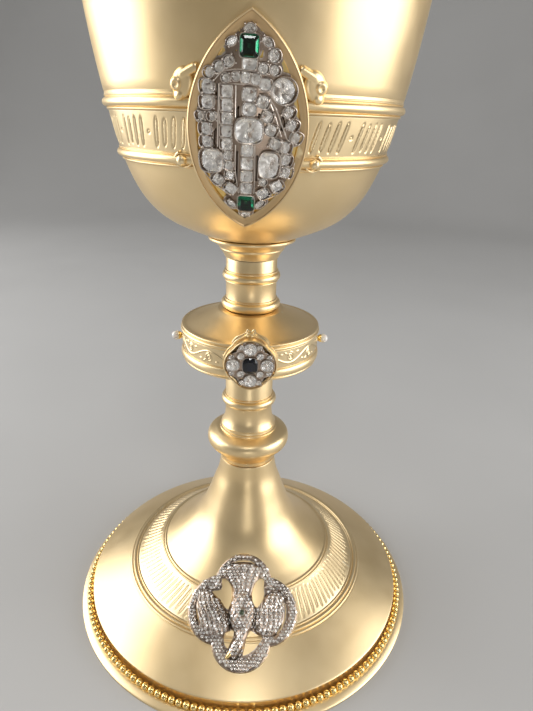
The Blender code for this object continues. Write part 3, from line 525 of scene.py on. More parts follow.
def hollow(outside, width, rise, floor):
    """Rolled edge along an outline with a lower, dished middle."""
    edge = rise * np.sqrt(np.clip(1.0 - ((outside + width) / width) ** 2, 0.0, 1.0))
    return np.where(outside < 0.0, np.maximum(edge, floor * np.clip(-outside / width, 0.0, 1.0)), 0.0)


# Foot

BEAD_COUNT = 150
BEAD_DIAMETER = 2.9
RISER_RADIUS = 69.5
RISER_TOP = 7.0
FOOT_WALL = 1.3
FOOT_BAND = ((49.0, 17.05), (38.3, 24.35))
FOOT_STROKES = (1.0, 0.92, 1.0, 0.84, 1.0)
FOOT_TOP = 68.0
FLANGE_TOP = 1.85
TRUMPET = ((31.9, 28.5), (25.1, 34.5), (20.6, 40.5), (17.3, 48.0), (14.6, 55.5), (12.5, 61.5))


def foot_outline():
    rim = [(75.0, 0.0), (75.0, 0.55), (74.4, 0.95), (73.2, 1.55), (72.4, 1.8), (69.6, FLANGE_TOP)]
    riser = [(RISER_RADIUS, 2.1), (RISER_RADIUS, 6.6), (69.75, 6.8), (69.7, 7.1)]
    skirt = smooth_through([(69.3, 7.35), (64.0, 10.1), (58.0, 13.0), (52.9, 15.4)], 6)
    step = half_round(15.5, 16.5, 52.6, 51.9, 52.85, 6) + [(51.75, 16.42)]
    step += half_round(16.45, 17.15, 51.5, 50.6, 51.6, 6) + [(50.3, 17.0), (50.05, 16.75)]
    step += half_round(16.8, 17.2, 50.0, 49.4, 49.95, 4)
    band = [(FOOT_BAND[0][0] + 0.15, FOOT_BAND[0][1] - 0.1)]
    band += [(FOOT_BAND[1][0] + 0.1, FOOT_BAND[1][1] - 0.25)]
    lines = half_round(24.35, 24.85, 38.1, 37.5, 38.1, 5) + [(37.35, 24.75)]
    lines += half_round(24.8, 25.35, 37.25, 36.5, 37.2, 5)
    trumpet = smooth_through([(36.3, 25.3), *TRUMPET, (11.5, FOOT_TOP)], 6)
    return rim + riser + skirt + step + band + lines + trumpet


def foot_inside():
    plain = [(RISER_RADIUS, 0.0), (RISER_RADIUS, RISER_TOP), (52.5, 15.5), (38.0, 24.5)]
    plain += smooth_through([(36.0, 25.4), *TRUMPET, (11.5, FOOT_TOP - 2.0)], 4)
    inside = offset_inwards(plain, FOOT_WALL)
    inside[0] = (RISER_RADIUS - FOOT_WALL, 0.0)
    return inside


def stroke_rows(length, height, pitch, pattern, raise_mm, cut_mm):
    """Relief of slanted strokes and dots round a band: a plain repeat that is no writing.

    Each entry of the pattern is a stroke's share of the height, or 0 for a dot between strokes.
    """
    count = round(length / pitch / len(pattern)) * len(pattern)
    spacing = length / count
    shares = np.array(pattern)
    slant = 0.22

    def depth(turn, along):
        place = turn * length / spacing
        result = np.zeros(np.broadcast(turn, along).shape)
        y = along - height / 2
        for shift in (-1, 0, 1):
            number = np.floor(place).astype(int) + shift
            share = shares[number % len(shares)] + 0.0 * y
            x = (place - number - 0.5) * spacing - slant * y
            reach = 0.5 * share * (height - 2.2)
            width = 0.16 * spacing * np.sqrt(np.clip(1.0 - (y / (reach + 1e-6)) ** 4, 0.0, 1.0))
            beyond = np.abs(y) - reach
            stroke = np.where(beyond > 0.0, np.hypot(x, beyond), np.abs(x) - width)
            dot = np.hypot(x, y) - 0.13 * spacing
            outside = np.where(share > 0.0, stroke, dot)
            result += raise_mm * np.clip(-outside / 0.25, 0.0, 1.0)
            result -= cut_mm * np.exp(-(outside / 0.2) ** 2)
        return result * np.clip(np.minimum(along, height - along) / 0.4, 0.0, 1.0)

    return depth


def make_foot():
    """Hollow foot with its ring band of chased strokes, and the row of beads round its edge."""
    inside = foot_inside()
    outline = [(0.0, inside[-1][1])] + inside[::-1] + foot_outline() + [(0.0, FOOT_TOP)]
    dress(lathe("foot_shell", softened(outline, 0.2), ROUND_STEPS, "gilt"), "gilt", "foot")
    rows = 44
    profile = [tuple(a + (b - a) * i / (rows - 1) for a, b in zip(*FOOT_BAND)) for i in range(rows)]
    length = math.pi * (FOOT_BAND[0][0] + FOOT_BAND[1][0])
    depth = stroke_rows(length, math.dist(*FOOT_BAND), 2.25, FOOT_STROKES, 0.12, 0.24)
    relief_band("foot_band", profile, 1200, depth)
    make_beads()


def make_beads():
    """Polished balls that touch each other in the corner of flange and riser."""
    gather = Gather()
    radius = BEAD_DIAMETER / 2
    reach = RISER_RADIUS + 0.3 + radius
    level = FLANGE_TOP + radius
    points, faces = ball(radius, 8, 14, 0.06)
    for i in range(BEAD_COUNT):
        gather.add(points + on_circle(reach, 2 * math.pi * i / BEAD_COUNT, level), faces)
    wire = [(reach - 0.9, level - 1.3), (reach + 0.9, level - 1.3), (reach + 0.9, level - 0.95),
            (reach - 0.9, level - 0.95)]
    gather.made("foot_bead_row", "polished", "foot_beading", sharp=50)
    dress(lathe("foot_bead_seat", wire, ROUND_STEPS, "polished", closed=True), "polished")


# Stem, knop and collar

def height_of(node):
    return top_of(node) - base_of(node)


def turned(name, node, outline, corner=0.15, steps=STEM_STEPS):
    """Gilt turned piece from an outline whose heights start at its node's underside."""
    rows = [(r, z + base_of(node)) for r, z in softened(outline, corner)]
    dress(lathe(name, rows, steps, "gilt"), "gilt", node)


def make_stem():
    outline = [(0.0, 0.0), (11.4, 0.0), (11.4, 1.6), (12.0, 2.2)]
    outline += smooth_through([(12.2, 2.4), (13.6, 4.6), (16.4, 7.2), (17.1, 9.6), (16.3, 12.2), (13.6, 13.8),
                               (12.0, 14.2)], 6)
    outline += [(11.85, 14.3), (11.9, 15.0), (11.3, 15.15), (11.2, 16.2), (11.35, 16.45)]
    outline += smooth_through([(11.1, 16.7), (10.2, 18.6), (9.75, 20.6), (9.6, 22.4)], 6)
    outline += [(9.6, 25.4), (10.1, 25.5), (10.1, 25.9)]
    outline += half_round(26.0, 29.2, 9.9, 9.9, 11.2) + [(10.15, 29.5), (10.15, 30.0), (9.6, 30.1)]
    high = height_of("lower_stem")
    turned("stem_lower", "lower_stem", outline + [(9.6, high), (0.0, high)])

    high = height_of("upper_stem")
    outline = [(0.0, 0.0), (10.0, 0.0), (10.3, 0.35)] + half_round(0.4, 3.5, 10.2, 10.0, 11.3)
    outline += [(10.15, 3.7), (10.15, 4.1), (9.6, 4.25), (9.6, 10.7), (10.1, 10.8), (10.1, 11.2)]
    outline += half_round(11.4, 14.2, 9.9, 9.9, 10.95) + [(10.15, 14.5), (10.15, 15.0), (9.6, 15.15)]
    turned("stem_upper", "upper_stem", outline + [(9.6, high), (0.0, high)])

    high = height_of("cup_collar")
    outline = [(0.0, 0.0), (10.1, 0.0)] + smooth_through([(10.1, 0.1), (10.9, 1.6), (11.8, 2.8)], 5)
    outline += [(12.0, 3.1), (11.9, 3.6)] + smooth_through([(12.3, 3.8), (13.6, 5.0), (15.6, 6.2)], 5)
    outline += [(16.1, 6.4), (16.1, high - 0.3), (15.8, high), (0.0, high)]
    turned("collar_rings", "cup_collar", outline)


KNOP_RADIUS = 26.25
KNOP_BAND = (10.75, 16.9)
DRUM_LOW = 6.0
DRUM_HEIGHT = 14.2


def drum_middle():
    """Height of the middle of the knop's upright side, where the jewel and the pearls sit."""
    return base_of("knop") + DRUM_LOW + DRUM_HEIGHT / 2


def knop_outline():
    high = height_of("knop")
    under = smooth_through([(12.0, 0.0), (14.9, 1.3), (18.0, 2.6), (21.4, 4.1), (24.6, 5.6), (25.6, 6.0)], 5)
    lower = [(26.0, 6.0), (26.3, 6.15), (26.3, 6.7)]
    lower += half_round(6.9, 10.2, 26.1, 26.2, 27.0) + [(26.45, 10.4), (26.45, 10.65)]
    band = [(KNOP_RADIUS - 0.25, level) for level in KNOP_BAND]
    upper = [(26.45, 17.0), (26.45, 17.25)] + half_round(17.4, 18.7, 26.3, 26.4, 27.0, 8)
    upper += half_round(18.9, 20.0, 26.4, 25.7, 26.7, 8)
    over = smooth_through([(25.5, 19.95), (24.4, 20.1), (21.4, 21.3), (18.0, 22.75), (14.9, 24.15),
                           (12.6, high)], 5)
    return [(0.0, 0.0)] + under + lower + band + upper + over + [(0.0, high)]


def vine_lines(period, height):
    """Polylines of one repeat of a waving stem with a spiral tendril in each half, and leaf places."""
    swing = 0.30 * height
    stem = [(period * i / 40, swing * math.sin(2 * math.pi * i / 40)) for i in range(41)]
    lines = [stem]
    leaves = []
    for half, sign in ((0.25, 1), (0.75, -1)):
        centre = (period * half, -sign * 0.10 * height)
        curl = []
        for i in range(34):
            share = i / 33
            angle = sign * (0.5 * math.pi + 3.6 * math.pi * share) + (0 if sign > 0 else math.pi)
            radius = 0.27 * height * (1.0 - 0.82 * share)
            curl.append((centre[0] + radius * math.cos(angle), centre[1] + radius * math.sin(angle)))
        lines.append(curl)
        for step, lift in ((-0.19, 0.30), (-0.10, 0.36), (0.17, 0.32)):
            leaves.append((centre[0] + step * period, -sign * lift * height * 0.9, sign * step * 9))
    return lines, leaves


def vine_depth(length, height, repeats, raise_mm, cut_mm):
    period = length / repeats
    lines, leaves = vine_lines(period, height)

    def depth(turn, along):
        x = np.mod(turn * length, period) + 0.0 * along
        y = along - height / 2 + 0.0 * turn
        near = np.full(x.shape, 1e9)
        for line in lines:
            for start, end in zip(line, line[1:]):
                near = np.minimum(near, from_segment(x, y, start, end)[0])
        result = raise_mm * np.exp(-(near / 0.22) ** 2) - cut_mm * np.exp(-((near - 0.42) / 0.16) ** 2)
        for across, up, lean in leaves:
            for shift in (-period, 0.0, period):
                outside = from_ellipse(x, y, (across + shift, up), (0.32, 0.75), lean)
                result = np.maximum(result, raise_mm * np.clip(-outside / 0.2, 0.0, 1.0))
        return result * np.clip(np.minimum(along, height - along) / 0.3, 0.0, 1.0)

    return depth


def make_knop():
    turned("knop_body", "knop", knop_outline(), 0.12, ROUND_STEPS)
    levels = base_of("knop") + np.linspace(*KNOP_BAND, 34)
    depth = vine_depth(2 * math.pi * KNOP_RADIUS, KNOP_BAND[1] - KNOP_BAND[0], 8, 0.24, 0.14)
    relief_band("knop_band", [(KNOP_RADIUS, level) for level in levels], 880, depth)


# Cup

CUP_WALL = 1.2
CUP_TOP = 89.6
CUP_PLAIN = ((16.0, 0.0), (33.0, 8.5), (43.1, 24.0), (50.5, 53.8), (55.6, CUP_TOP))
CUP_BAND = (30.0, 40.4)
CUP_STROKES = (1.0, 0.9, 1.0, 1.0, 0)


def cup_plain(steps=12):
    return smooth_through(CUP_PLAIN, steps)


def radius_at(profile, level):
    radii, heights = zip(*profile)
    return float(np.interp(level, heights, radii))


def cup_outline():
    plain = cup_plain()
    low = [point for point in plain if point[1] < 25.6]

    def at(level, out):
        return radius_at(plain, level) + out, level

    lower = [at(25.8, 0.0), at(25.9, 0.35), at(26.2, 0.5), at(26.5, 0.35), at(26.7, 0.0), at(26.9, 0.0)]
    lower += half_round(26.9, 29.3, at(26.9, 0.25)[0], at(29.3, 0.2)[0], at(28.1, 1.45)[0])
    lower += [at(29.45, 0.1), at(29.6, 0.35), at(29.85, 0.35), at(29.95, 0.0)]
    band = [at(level, -0.3) for level in np.linspace(*CUP_BAND, 6)]
    upper = [at(40.45, 0.0), at(40.6, 0.4), at(40.95, 0.5), at(41.2, 0.3), at(41.35, 0.05)]
    upper += half_round(41.4, 44.0, at(41.4, 0.2)[0], at(44.0, 0.1)[0], at(42.7, 1.35)[0])
    upper += [at(44.15, 0.05), at(44.3, 0.25), at(44.7, 0.3), at(44.9, 0.02), at(45.4, -0.05),
              at(45.7, -0.12), at(46.0, 0.0)]
    high = [point for point in plain if point[1] > 46.6]
    return low + lower + band + upper + high


def make_cup():
    """Hollow cup with its mouldings, another gilding inside, and its band of strokes."""
    low = base_of("cup")
    plain = cup_plain()
    inside = [point for point in offset_inwards(plain, CUP_WALL) if point[1] > 3.2]
    inside[-1] = (inside[-1][0], CUP_TOP - 0.3)
    floor = [(0.0, 2.4), (12.0, 2.5), (18.0, 3.0)]
    lip = [(55.5, CUP_TOP), (55.2, CUP_TOP), (54.7, CUP_TOP)]
    outline = [(0.0, 0.0)] + softened(cup_outline(), 0.12) + lip + inside[::-1] + floor[::-1]
    body = lathe("cup_shell", [(r, z + low) for r, z in outline], ROUND_STEPS, "gilt")
    body.data.materials.append(FINISH["inside"])
    centre = np.array([face.center for face in body.data.polygons])
    normal = np.array([face.normal for face in body.data.polygons])
    inner = (centre[:, 0] * normal[:, 0] + centre[:, 1] * normal[:, 1] < 0) & (centre[:, 2] / MM > low + 4.0)
    body.data.polygons.foreach_set("material_index", inner.astype(np.int32))
    dress(body, "gilt", "cup")
    profile = [(radius_at(plain, level), level + low) for level in np.linspace(*CUP_BAND, 46)]
    length = 2 * math.pi * radius_at(plain, sum(CUP_BAND) / 2)
    depth = stroke_rows(length, CUP_BAND[1] - CUP_BAND[0], 3.0, CUP_STROKES, 0.10, 0.30)
    relief_band("cup_band", profile, 1250, depth)


# Stones and settings

def outline_of(kind, sides):
    """Unit outline of a stone: round, cushion, step or leaf."""
    angles = np.arange(sides) * 2 * math.pi / sides + math.pi / sides
    cos, sin = np.cos(angles), np.sin(angles)
    if kind == "leaf":
        return np.stack([cos, sin * np.abs(sin) ** 0.6], axis=1)
    power = {"round": 2.0, "cushion": 3.2, "square": 6.0, "step": 10.0}[kind]
    reach = (np.abs(cos) ** power + np.abs(sin) ** power) ** (-1.0 / power)
    return np.stack([cos * reach, sin * reach], axis=1)


def ring_of(kind, sides, width, length, height, grow=0.0, shrink=1.0, twist=0.0):
    unit = outline_of(kind, sides)
    if twist:
        unit = (unit + np.roll(unit, -1, axis=0)) / 2
    flat = unit * np.array([width / 2 + grow, length / 2 + grow]) * shrink
    return np.column_stack([flat, np.full(sides, height)])


def facets(kind, width, length, sides, parts):
    """Stone from rings: a share of the outline, a height, and a turn by half a facet or none."""
    rings = [ring_of(kind, sides, width, length, height, 0.0, share, twist) for share, height, twist in parts]
    return loft(rings, triangles=True)


def gem(kind, width, length, rise, sides=16):
    """Flat-backed stone: girdle, two rows of crown facets and a table."""
    return facets(kind, width, length, sides, ((0.96, -0.04, 0), (1.0, 0.0, 0), (1.0, 0.06 * rise, 0),
                                               (0.84, 0.55 * rise, 1), (0.56, rise, 0)))


def step_gem(width, length, rise, depth):
    """Emerald cut: straight steps with cut corners."""
    cut = 1.0 - 0.24
    unit = np.array([(1, -cut), (1, cut), (cut, 1), (-cut, 1), (-1, cut), (-1, -cut), (-cut, -1), (cut, -1)])
    rings = []
    for share, height in ((0.1, -depth), (0.5, -0.65 * depth), (0.82, -0.3 * depth), (1.0, 0.0),
                          (1.0, 0.1 * rise), (0.86, 0.6 * rise), (0.66, rise)):
        flat = unit * np.array([width / 2, length / 2]) * share
        rings.append(np.column_stack([flat, np.full(len(unit), height)]))
    return loft(rings)


def collet(kind, width, length, low, high, wall=0.32, sides=24):
    """Raised metal wall round a stone."""
    parts = ((wall * 1.25, low), (wall, high - 0.25), (wall * 0.75, high), (wall * 0.3, high + 0.05),
             (-0.08, high - 0.12), (-0.12, high - 0.5), (-0.12, low))
    rings = [ring_of(kind, sides, width, length, height, grow) for grow, height in parts]
    return loft(rings, closed=True)


# Pointed oval brooch on the cup

BROOCH_TURN = math.radians(-2.1)
BROOCH_LEAN = math.radians(2.0)
BROOCH_LEVEL = 36.7
BROOCH_WIDTH = 32.1
BROOCH_LENGTH = 54.5
RIM_WIDTH = 2.4
TRAY_FLOOR = 1.9
SETTING_LOW = 2.0
SETTING_TOP = 3.5
SMALL_TILT = 0.16

# Larger stones: place across and along from the middle, kind, width and length
LARGE_STONES = {
    "emerald_upper": (-0.3, 19.5, "step", 4.5, 4.9),
    "emerald_lower": (0.3, -18.9, "step", 4.5, 4.9),
    "diamond_centre": (0.4, 0.5, "cushion", 7.1, 6.3),
    "diamond_upper_right": (8.3, 10.3, "round", 6.4, 6.2),
    "diamond_lower_left": (-8.9, -7.6, "cushion", 6.3, 6.2),
    "diamond_lower_right": (5.9, -7.9, "cushion", 5.6, 7.0),
}

# Small stones are drawn a little larger than measured, to close the rows
STONE_FILL = 1.12

# Runs of small stones: start, end, how many, kind, width and length of each
STONE_RUNS = (
    ((-5.4, 9.3), (-5.2, -3.2), 5, "square", 2.7, 2.7),
    ((-4.9, -6.0), (-4.2, -11.2), 3, "cushion", 2.2, 2.2),
    ((-10.2, 10.2), (-10.2, 6.6), 2, "cushion", 3.2, 3.1),
    ((-11.9, 3.3), (-11.9, 3.3), 1, "round", 2.0, 2.2),
    ((-8.9, 3.3), (-8.9, 3.3), 1, "round", 1.9, 2.1),
    ((-10.6, 0.3), (-10.4, -3.0), 2, "cushion", 2.8, 2.8),
    ((0.1, 8.9), (0.2, 5.5), 2, "cushion", 3.1, 2.9),
    ((0.2, -4.5), (0.2, -14.6), 4, "square", 2.8, 2.8),
    ((-5.6, 12.3), (-3.2, 12.8), 2, "round", 1.9, 1.9),
    ((-0.9, 12.6), (1.5, 12.4), 2, "cushion", 2.1, 2.3),
    ((3.9, 11.4), (3.9, 11.4), 1, "cushion", 2.7, 2.5),
    ((-5.0, 16.0), (-9.6, 13.4), 3, "round", 2.6, 2.3),
    ((-0.1, 15.8), (-0.1, 15.8), 1, "square", 3.1, 2.7),
    ((5.6, 17.8), (5.6, 17.8), 1, "round", 2.7, 2.7),
    ((3.2, 14.9), (5.9, 14.7), 2, "round", 2.3, 2.2),
    ((3.6, 7.4), (7.1, -2.4), 4, "cushion", 2.8, 2.7),
    ((10.0, 5.4), (12.3, -0.6), 3, "cushion", 2.6, 2.6),
    ((9.8, -3.2), (10.6, -9.6), 3, "cushion", 2.7, 2.8),
    ((8.4, -13.5), (4.8, -15.9), 2, "cushion", 3.0, 2.9),
    ((4.5, -12.6), (4.5, -12.6), 1, "round", 2.0, 2.0),
    ((-7.3, -12.6), (-3.9, -14.9), 2, "cushion", 3.0, 2.7),
    ((-0.3, 23.0), (-0.3, 23.0), 1, "leaf", 2.6, 1.9),
    ((0.3, -22.3), (0.3, -22.3), 1, "leaf", 2.2, 1.5),
)

# Leaf-shaped stones: place across and along, and turn
LEAF_STONES = ((-4.4, 20.2, 0.5), (3.9, 20.5, -0.5), (-3.7, -19.4, -0.6), (4.1, -19.0, 0.6))

# The plate's closed middle: place, half width and half length
PLATE_MIDDLE = (0.2, -1.8)
PLATE_HALF = (9.4, 14.2)

# Dark grooves in it: place across and along, half width and half length
PLATE_GAPS = ((-8.2, -2.4, 0.45, 2.6), (-7.8, 9.0, 0.3, 1.9), (-2.7, -9.2, 0.4, 4.4), (2.7, -9.4, 0.35, 3.6),
              (2.9, 2.9, 0.4, 1.5), (7.9, -3.6, 0.35, 1.3), (9.0, 2.6, 0.35, 1.9), (-2.6, 4.4, 0.3, 1.6))

# Raised lines of silver that edge the rows of stones
PLATE_LINES = (
    ((-7.6, 10.9), (-7.7, 3.0), (-7.8, -4.2)),
    ((-3.3, 10.7), (-3.2, 3.4)),
    ((-3.0, -3.4), (-2.9, -10.0), (-1.9, -16.4)),
    ((2.1, -3.2), (2.4, -10.0), (2.4, -16.2)),
    ((-9.2, 11.0), (-6.6, 13.6), (-2.0, 14.3), (2.8, 13.9), (5.4, 12.6)),
    ((-7.4, 10.9), (-3.0, 11.1), (1.0, 10.9), (4.4, 9.2), (7.0, 6.0), (8.8, 2.2), (10.6, -1.6)),
    ((-11.6, -11.0), (-8.0, -14.6), (-4.0, -17.2)),
    ((12.9, -7.0), (12.1, -11.4), (9.6, -15.6), (5.0, -18.0)),
    ((5.2, 7.9), (6.9, 4.4), (8.9, -0.6)),
)


def oval_row(inset, steps):
    """Points of the pointed oval moved inwards, the same count for any inset."""
    half_width, half_length = BROOCH_WIDTH / 2, BROOCH_LENGTH / 2
    radius = (half_width ** 2 + half_length ** 2) / (2 * half_width)
    offset = radius - half_width
    reach = math.acos(min(1.0, offset / (radius - inset)))
    right = []
    for i in range(steps):
        angle = -reach + 2 * reach * i / steps
        right.append(((radius - inset) * math.cos(angle) - offset, (radius - inset) * math.sin(angle)))
    return np.array(right + [(-x, -y) for x, y in right])


def cup_surface(turn, lean=0.0):
    low = base_of("cup")
    return Surface([(r, z + low) for r, z in cup_plain()], low + BROOCH_LEVEL, turn, lean)


def make_mandorla():
    """Frame and floor of the brooch, and what is set in it."""
    seat = cup_surface(BROOCH_TURN, BROOCH_LEAN)
    section = ((0.0, 0.1), (0.0, 3.35), (0.12, 3.6), (0.32, 3.72), (0.52, 3.6), (0.62, 3.3), (0.8, 3.22),
               (RIM_WIDTH - 0.25, 2.85), (RIM_WIDTH, 2.65), (RIM_WIDTH + 0.05, 1.5), (RIM_WIDTH, 0.1))
    rings = [seat.place(*oval_row(inset, 72).T, height) for inset, height in section]
    piece("mandorla_rim", loft(rings, closed=True), "matt", "mandorla_frame", sharp=30)

    insets = np.linspace(RIM_WIDTH - 0.3, BROOCH_WIDTH / 2 - 0.6, 9)
    levels = [(insets[0], 0.3)] + [(inset, TRAY_FLOOR) for inset in insets]
    rings = [seat.place(*oval_row(inset, 40).T, height) for inset, height in levels]
    piece("mandorla_tray", loft(rings, caps=(False, True)), "polished", sharp=30)
    make_setting(seat)


def all_small_stones():
    """Place, kind, width, length and turn of every small stone."""
    stones = []
    for start, end, count, kind, width, length in STONE_RUNS:
        over, up = end[0] - start[0], end[1] - start[1]
        turn = -math.atan2(over, abs(up) + 1e-9) if count > 1 else 0.0
        if abs(up) < abs(over):
            turn = math.copysign(1.0, over) * math.atan2(up, abs(over))
        for i in range(count):
            share = i / max(count - 1, 1)
            place = tuple(a + (b - a) * share for a, b in zip(start, end))
            stones.append((place, kind, STONE_FILL * width, STONE_FILL * length, turn))
    for across, along, turn in LEAF_STONES:
        stones.append(((across, along), "leaf", 3.2, 1.9, turn))
    return stones


def make_setting(seat):
    """Silver plate with a collet for each stone, and the stones over their foils."""
    small = all_small_stones()
    large = [((x, y), kind, width, length, 0.0) for x, y, kind, width, length in LARGE_STONES.values()]

    def form(x, y):
        outside = np.full(np.shape(x), 1e9)
        for (across, along), _, width, length, turn in small + large:
            half = (width / 2 + 1.0, length / 2 + 1.0)
            outside = np.minimum(outside, from_ellipse(x, y, (across, along), half, turn))
        outside = np.minimum(outside, from_ellipse(x, y, PLATE_MIDDLE, PLATE_HALF))
        height = SETTING_TOP - 0.85 + 0.0 * x
        for across, along, half_width, half_length in PLATE_GAPS:
            gap = from_ellipse(x, y, (across, along), (half_width, half_length))
            height = np.where(gap < 0.0, SETTING_LOW + 0.1, height)
        return outside, height

    relief("mandorla_plate", seat, 14.4, 25.4, 0.28, form, "silver", SETTING_LOW, "mandorla_cluster")
    walls, gems, grains, foils = Gather(), Gather(), Gather(), Gather()
    chooser = random.Random(5)
    points, faces = grain(0.24)
    for place, kind, width, length, turn in small:
        tilt = (chooser.uniform(-SMALL_TILT, SMALL_TILT), chooser.uniform(-SMALL_TILT, SMALL_TILT))
        walls.add(*seat.put(collet(kind, width, length, SETTING_LOW, SETTING_TOP, 0.24), place, 0.0, turn))
        gems.add(*seat.put(gem(kind, width, length, 0.55, 12), place, SETTING_TOP - 0.1, turn, tilt))
        foils.add(*seat.put(foil(kind, width, length, 0.85, chooser), place, SETTING_TOP - 0.15, turn, tilt))
        corners = [(x * width * 0.42, y * length * 0.42, 0.0) for x in (-1, 1) for y in (-1, 1)]
        for centre in seat.put((corners, ()), place, SETTING_TOP, turn)[0]:
            grains.add(points + centre, faces)
    for name, (x, y, kind, width, length) in LARGE_STONES.items():
        if kind == "step":
            wall_kind, finish, cut = "square", "emerald", step_gem(width, length, 0.9, 1.1)
        else:
            wall_kind, finish, cut = kind, "diamond", gem(kind, width, length, 1.1)
            foils.add(*seat.put(foil(kind, width, length, 1.3, chooser, 14), (x, y), SETTING_TOP + 0.1))
        wall = collet(wall_kind, width, length, SETTING_LOW, SETTING_TOP + 0.2, 0.34, 40)
        walls.add(*seat.put(wall, (x, y), 0.0))
        piece(f"{name}_cut", seat.put(cut, (x, y), SETTING_TOP + 0.15), finish, name)
    for line in PLATE_LINES:
        path = np.array(smooth_through(line, 6))
        walls.add(*tube(seat.place(*path.T, SETTING_TOP - 0.7), 0.2, 6))
    walls.made("mandorla_collets", "silver", sharp=40)
    grains.made("mandorla_grains", "silver", sharp=60)
    foils.made("mandorla_foils", "foil")
    gems.made("mandorla_diamonds", "diamond")


def foil(kind, width, length, depth, chooser, sides=10):
    """Bright dish of uneven facets under a stone, which throws light back through it."""
    rings = []
    for share, height, uneven in ((0.94, -depth - 0.12, 0.0), (0.95, 0.0, 0.0), (0.62, -0.62 * depth, 0.26),
                                  (0.30, -0.72 * depth, 0.24), (0.06, -0.42 * depth, 0.0)):
        ring = ring_of(kind, sides, width, length, height, 0.0, share, uneven > 0.0)
        ring[:, 2] += [chooser.uniform(-uneven, uneven) * depth for _ in range(sides)]
        rings.append(ring)
    return loft(rings, triangles=True)


def grain(radius):
    """Small rounded drop of metal."""
    turns = np.arange(6) * math.pi / 3
    rings = []
    for share, height in ((0.7, -0.6), (1.0, 0.0), (0.7, 0.7)):
        rings.append(np.column_stack([radius * share * np.cos(turns), radius * share * np.sin(turns),
                                      np.full(6, radius * height)]))
    return loft(rings)


LEAF_LEVEL = 43.8
BALL_LEVEL = 28.2
BALL_RADIUS = 1.5


def make_terminals():
    """Leaf scrolls above the upper moulding and balls on the lower one, beside the frame."""
    seat = cup_surface(BROOCH_TURN)
    outside = BROOCH_WIDTH / 2
    upper = LEAF_LEVEL - BROOCH_LEVEL
    lower = BALL_LEVEL - BROOCH_LEVEL
    for side, sign in (("left", -1), ("right", 1)):
        def form(x, y):
            x = sign * x - outside
            y = y - upper
            leaf = from_ellipse(x, y, (0.9, 3.7), (3.0, 3.9), math.radians(12))
            spur = from_segment(x, y, (-2.4, 7.2), (0.9, 5.6))[0] - 1.3
            upper_curl = from_ellipse(x, y, (2.7, 3.6), (1.7, 1.8), math.radians(-12))
            lower_curl = from_ellipse(x, y, (2.0, 0.9), (1.6, 1.5), math.radians(-10))
            height = np.maximum(dome(leaf, 2.0, 1.25), dome(spur, 1.0, 1.35))
            height = np.maximum(height, hollow(upper_curl, 0.8, 1.75, 1.3))
            height = np.maximum(height, dome(lower_curl, 1.4, 1.6))
            outside_all = np.minimum(np.minimum(leaf, spur), np.minimum(upper_curl, lower_curl))
            return np.maximum(outside_all, -3.0 - x), 0.35 + height

        relief(f"leaf_scroll_{side}", seat, outside + 6.5, 17.0, 0.2, form, "gilt", -0.2,
               f"leaf_terminal_{side}")
        gather = Gather()
        points, faces = ball(BALL_RADIUS, 10, 20, 0.04)
        gather.add(points + seat.place(sign * (outside + 2.4), lower, BALL_RADIUS), faces)
        gather.add(*scroll_wire(seat, sign, outside, lower))
        gather.made(f"ball_scroll_{side}", "gilt", f"ball_terminal_{side}", sharp=50)


def tube(path, radius, sides=8):
    """Round wire along a path, with closed ends. The radius may change along it."""
    path = np.asarray(path, float)
    radius = np.broadcast_to(radius, len(path))
    tangents = np.gradient(path, axis=0)
    tangents /= np.linalg.norm(tangents, axis=1)[:, None]
    side = np.cross(tangents[0], (0.0, 0.0, 1.0))
    if np.linalg.norm(side) < 0.1:
        side = np.cross(tangents[0], (1.0, 0.0, 0.0))
    rings = []
    for point, tangent, thick in zip(path, tangents, radius):
        side = side - tangent * np.dot(side, tangent)
        side /= np.linalg.norm(side)
        up = np.cross(tangent, side)
        angles = np.arange(sides) * 2 * math.pi / sides
        rings.append(point + thick * (np.cos(angles)[:, None] * side + np.sin(angles)[:, None] * up))
    return loft(rings)


def scroll_wire(seat, sign, outside, lower):
    """Small curl that runs from the lower moulding's end down round the ball to the frame."""
    path = []
    for i in range(15):
        share = i / 14
        angle = math.radians(60) - math.radians(230) * share
        reach = 2.1 + 0.5 * share
        path.append((sign * (outside + 2.2 + reach * math.cos(angle)), lower + reach * math.sin(angle), 0.7))
    return tube(seat.place(*np.array(path).T), np.linspace(0.42, 0.3, len(path)))


# Jewel and pearls on the knop

JEWEL_MIDDLE = (0.3, 0.5)
BOX_RADIUS = 9.4
BOX_LOBE = 7.4
JEWEL_RIM = 0.7
JEWEL_RADIUS = 8.6
JEWEL_LOBE = 5.0
JEWEL_BACK = 23.5
JEWEL_SEAT = 28.2
JEWEL_FRONT = 29.5
JEWEL_TILT = 0.18
JEWEL_DIAMONDS = {"right": (6.2, 0.6), "top": (0.2, 6.6), "left": (-5.8, 0.7), "bottom": (0.3, -5.3)}
CREST = ((-6.4, 8.0), (-5.0, 9.9), (-2.7, 11.1), (-1.5, 11.8), (-1.1, 12.8), (-0.5, 12.2), (0.0, 12.0),
         (0.5, 12.2), (1.1, 12.8), (1.5, 11.8), (2.7, 11.1), (5.0, 9.9), (6.4, 8.0))


def quatrefoil(size, lobe, steps):
    """Outline of four round lobes, with the same count of points on each."""
    centre = size / 2 - lobe
    meeting = (centre + math.sqrt(2 * lobe ** 2 - centre ** 2)) / 2
    half_turn = math.atan2(meeting, meeting - centre)
    points = []
    for quarter in range(4):
        facing = math.pi / 2 * quarter
        for i in range(steps):
            angle = facing - half_turn + 2 * half_turn * i / steps
            points.append((centre * math.cos(facing) + lobe * math.cos(angle),
                           centre * math.sin(facing) + lobe * math.sin(angle)))
    return np.array(points)


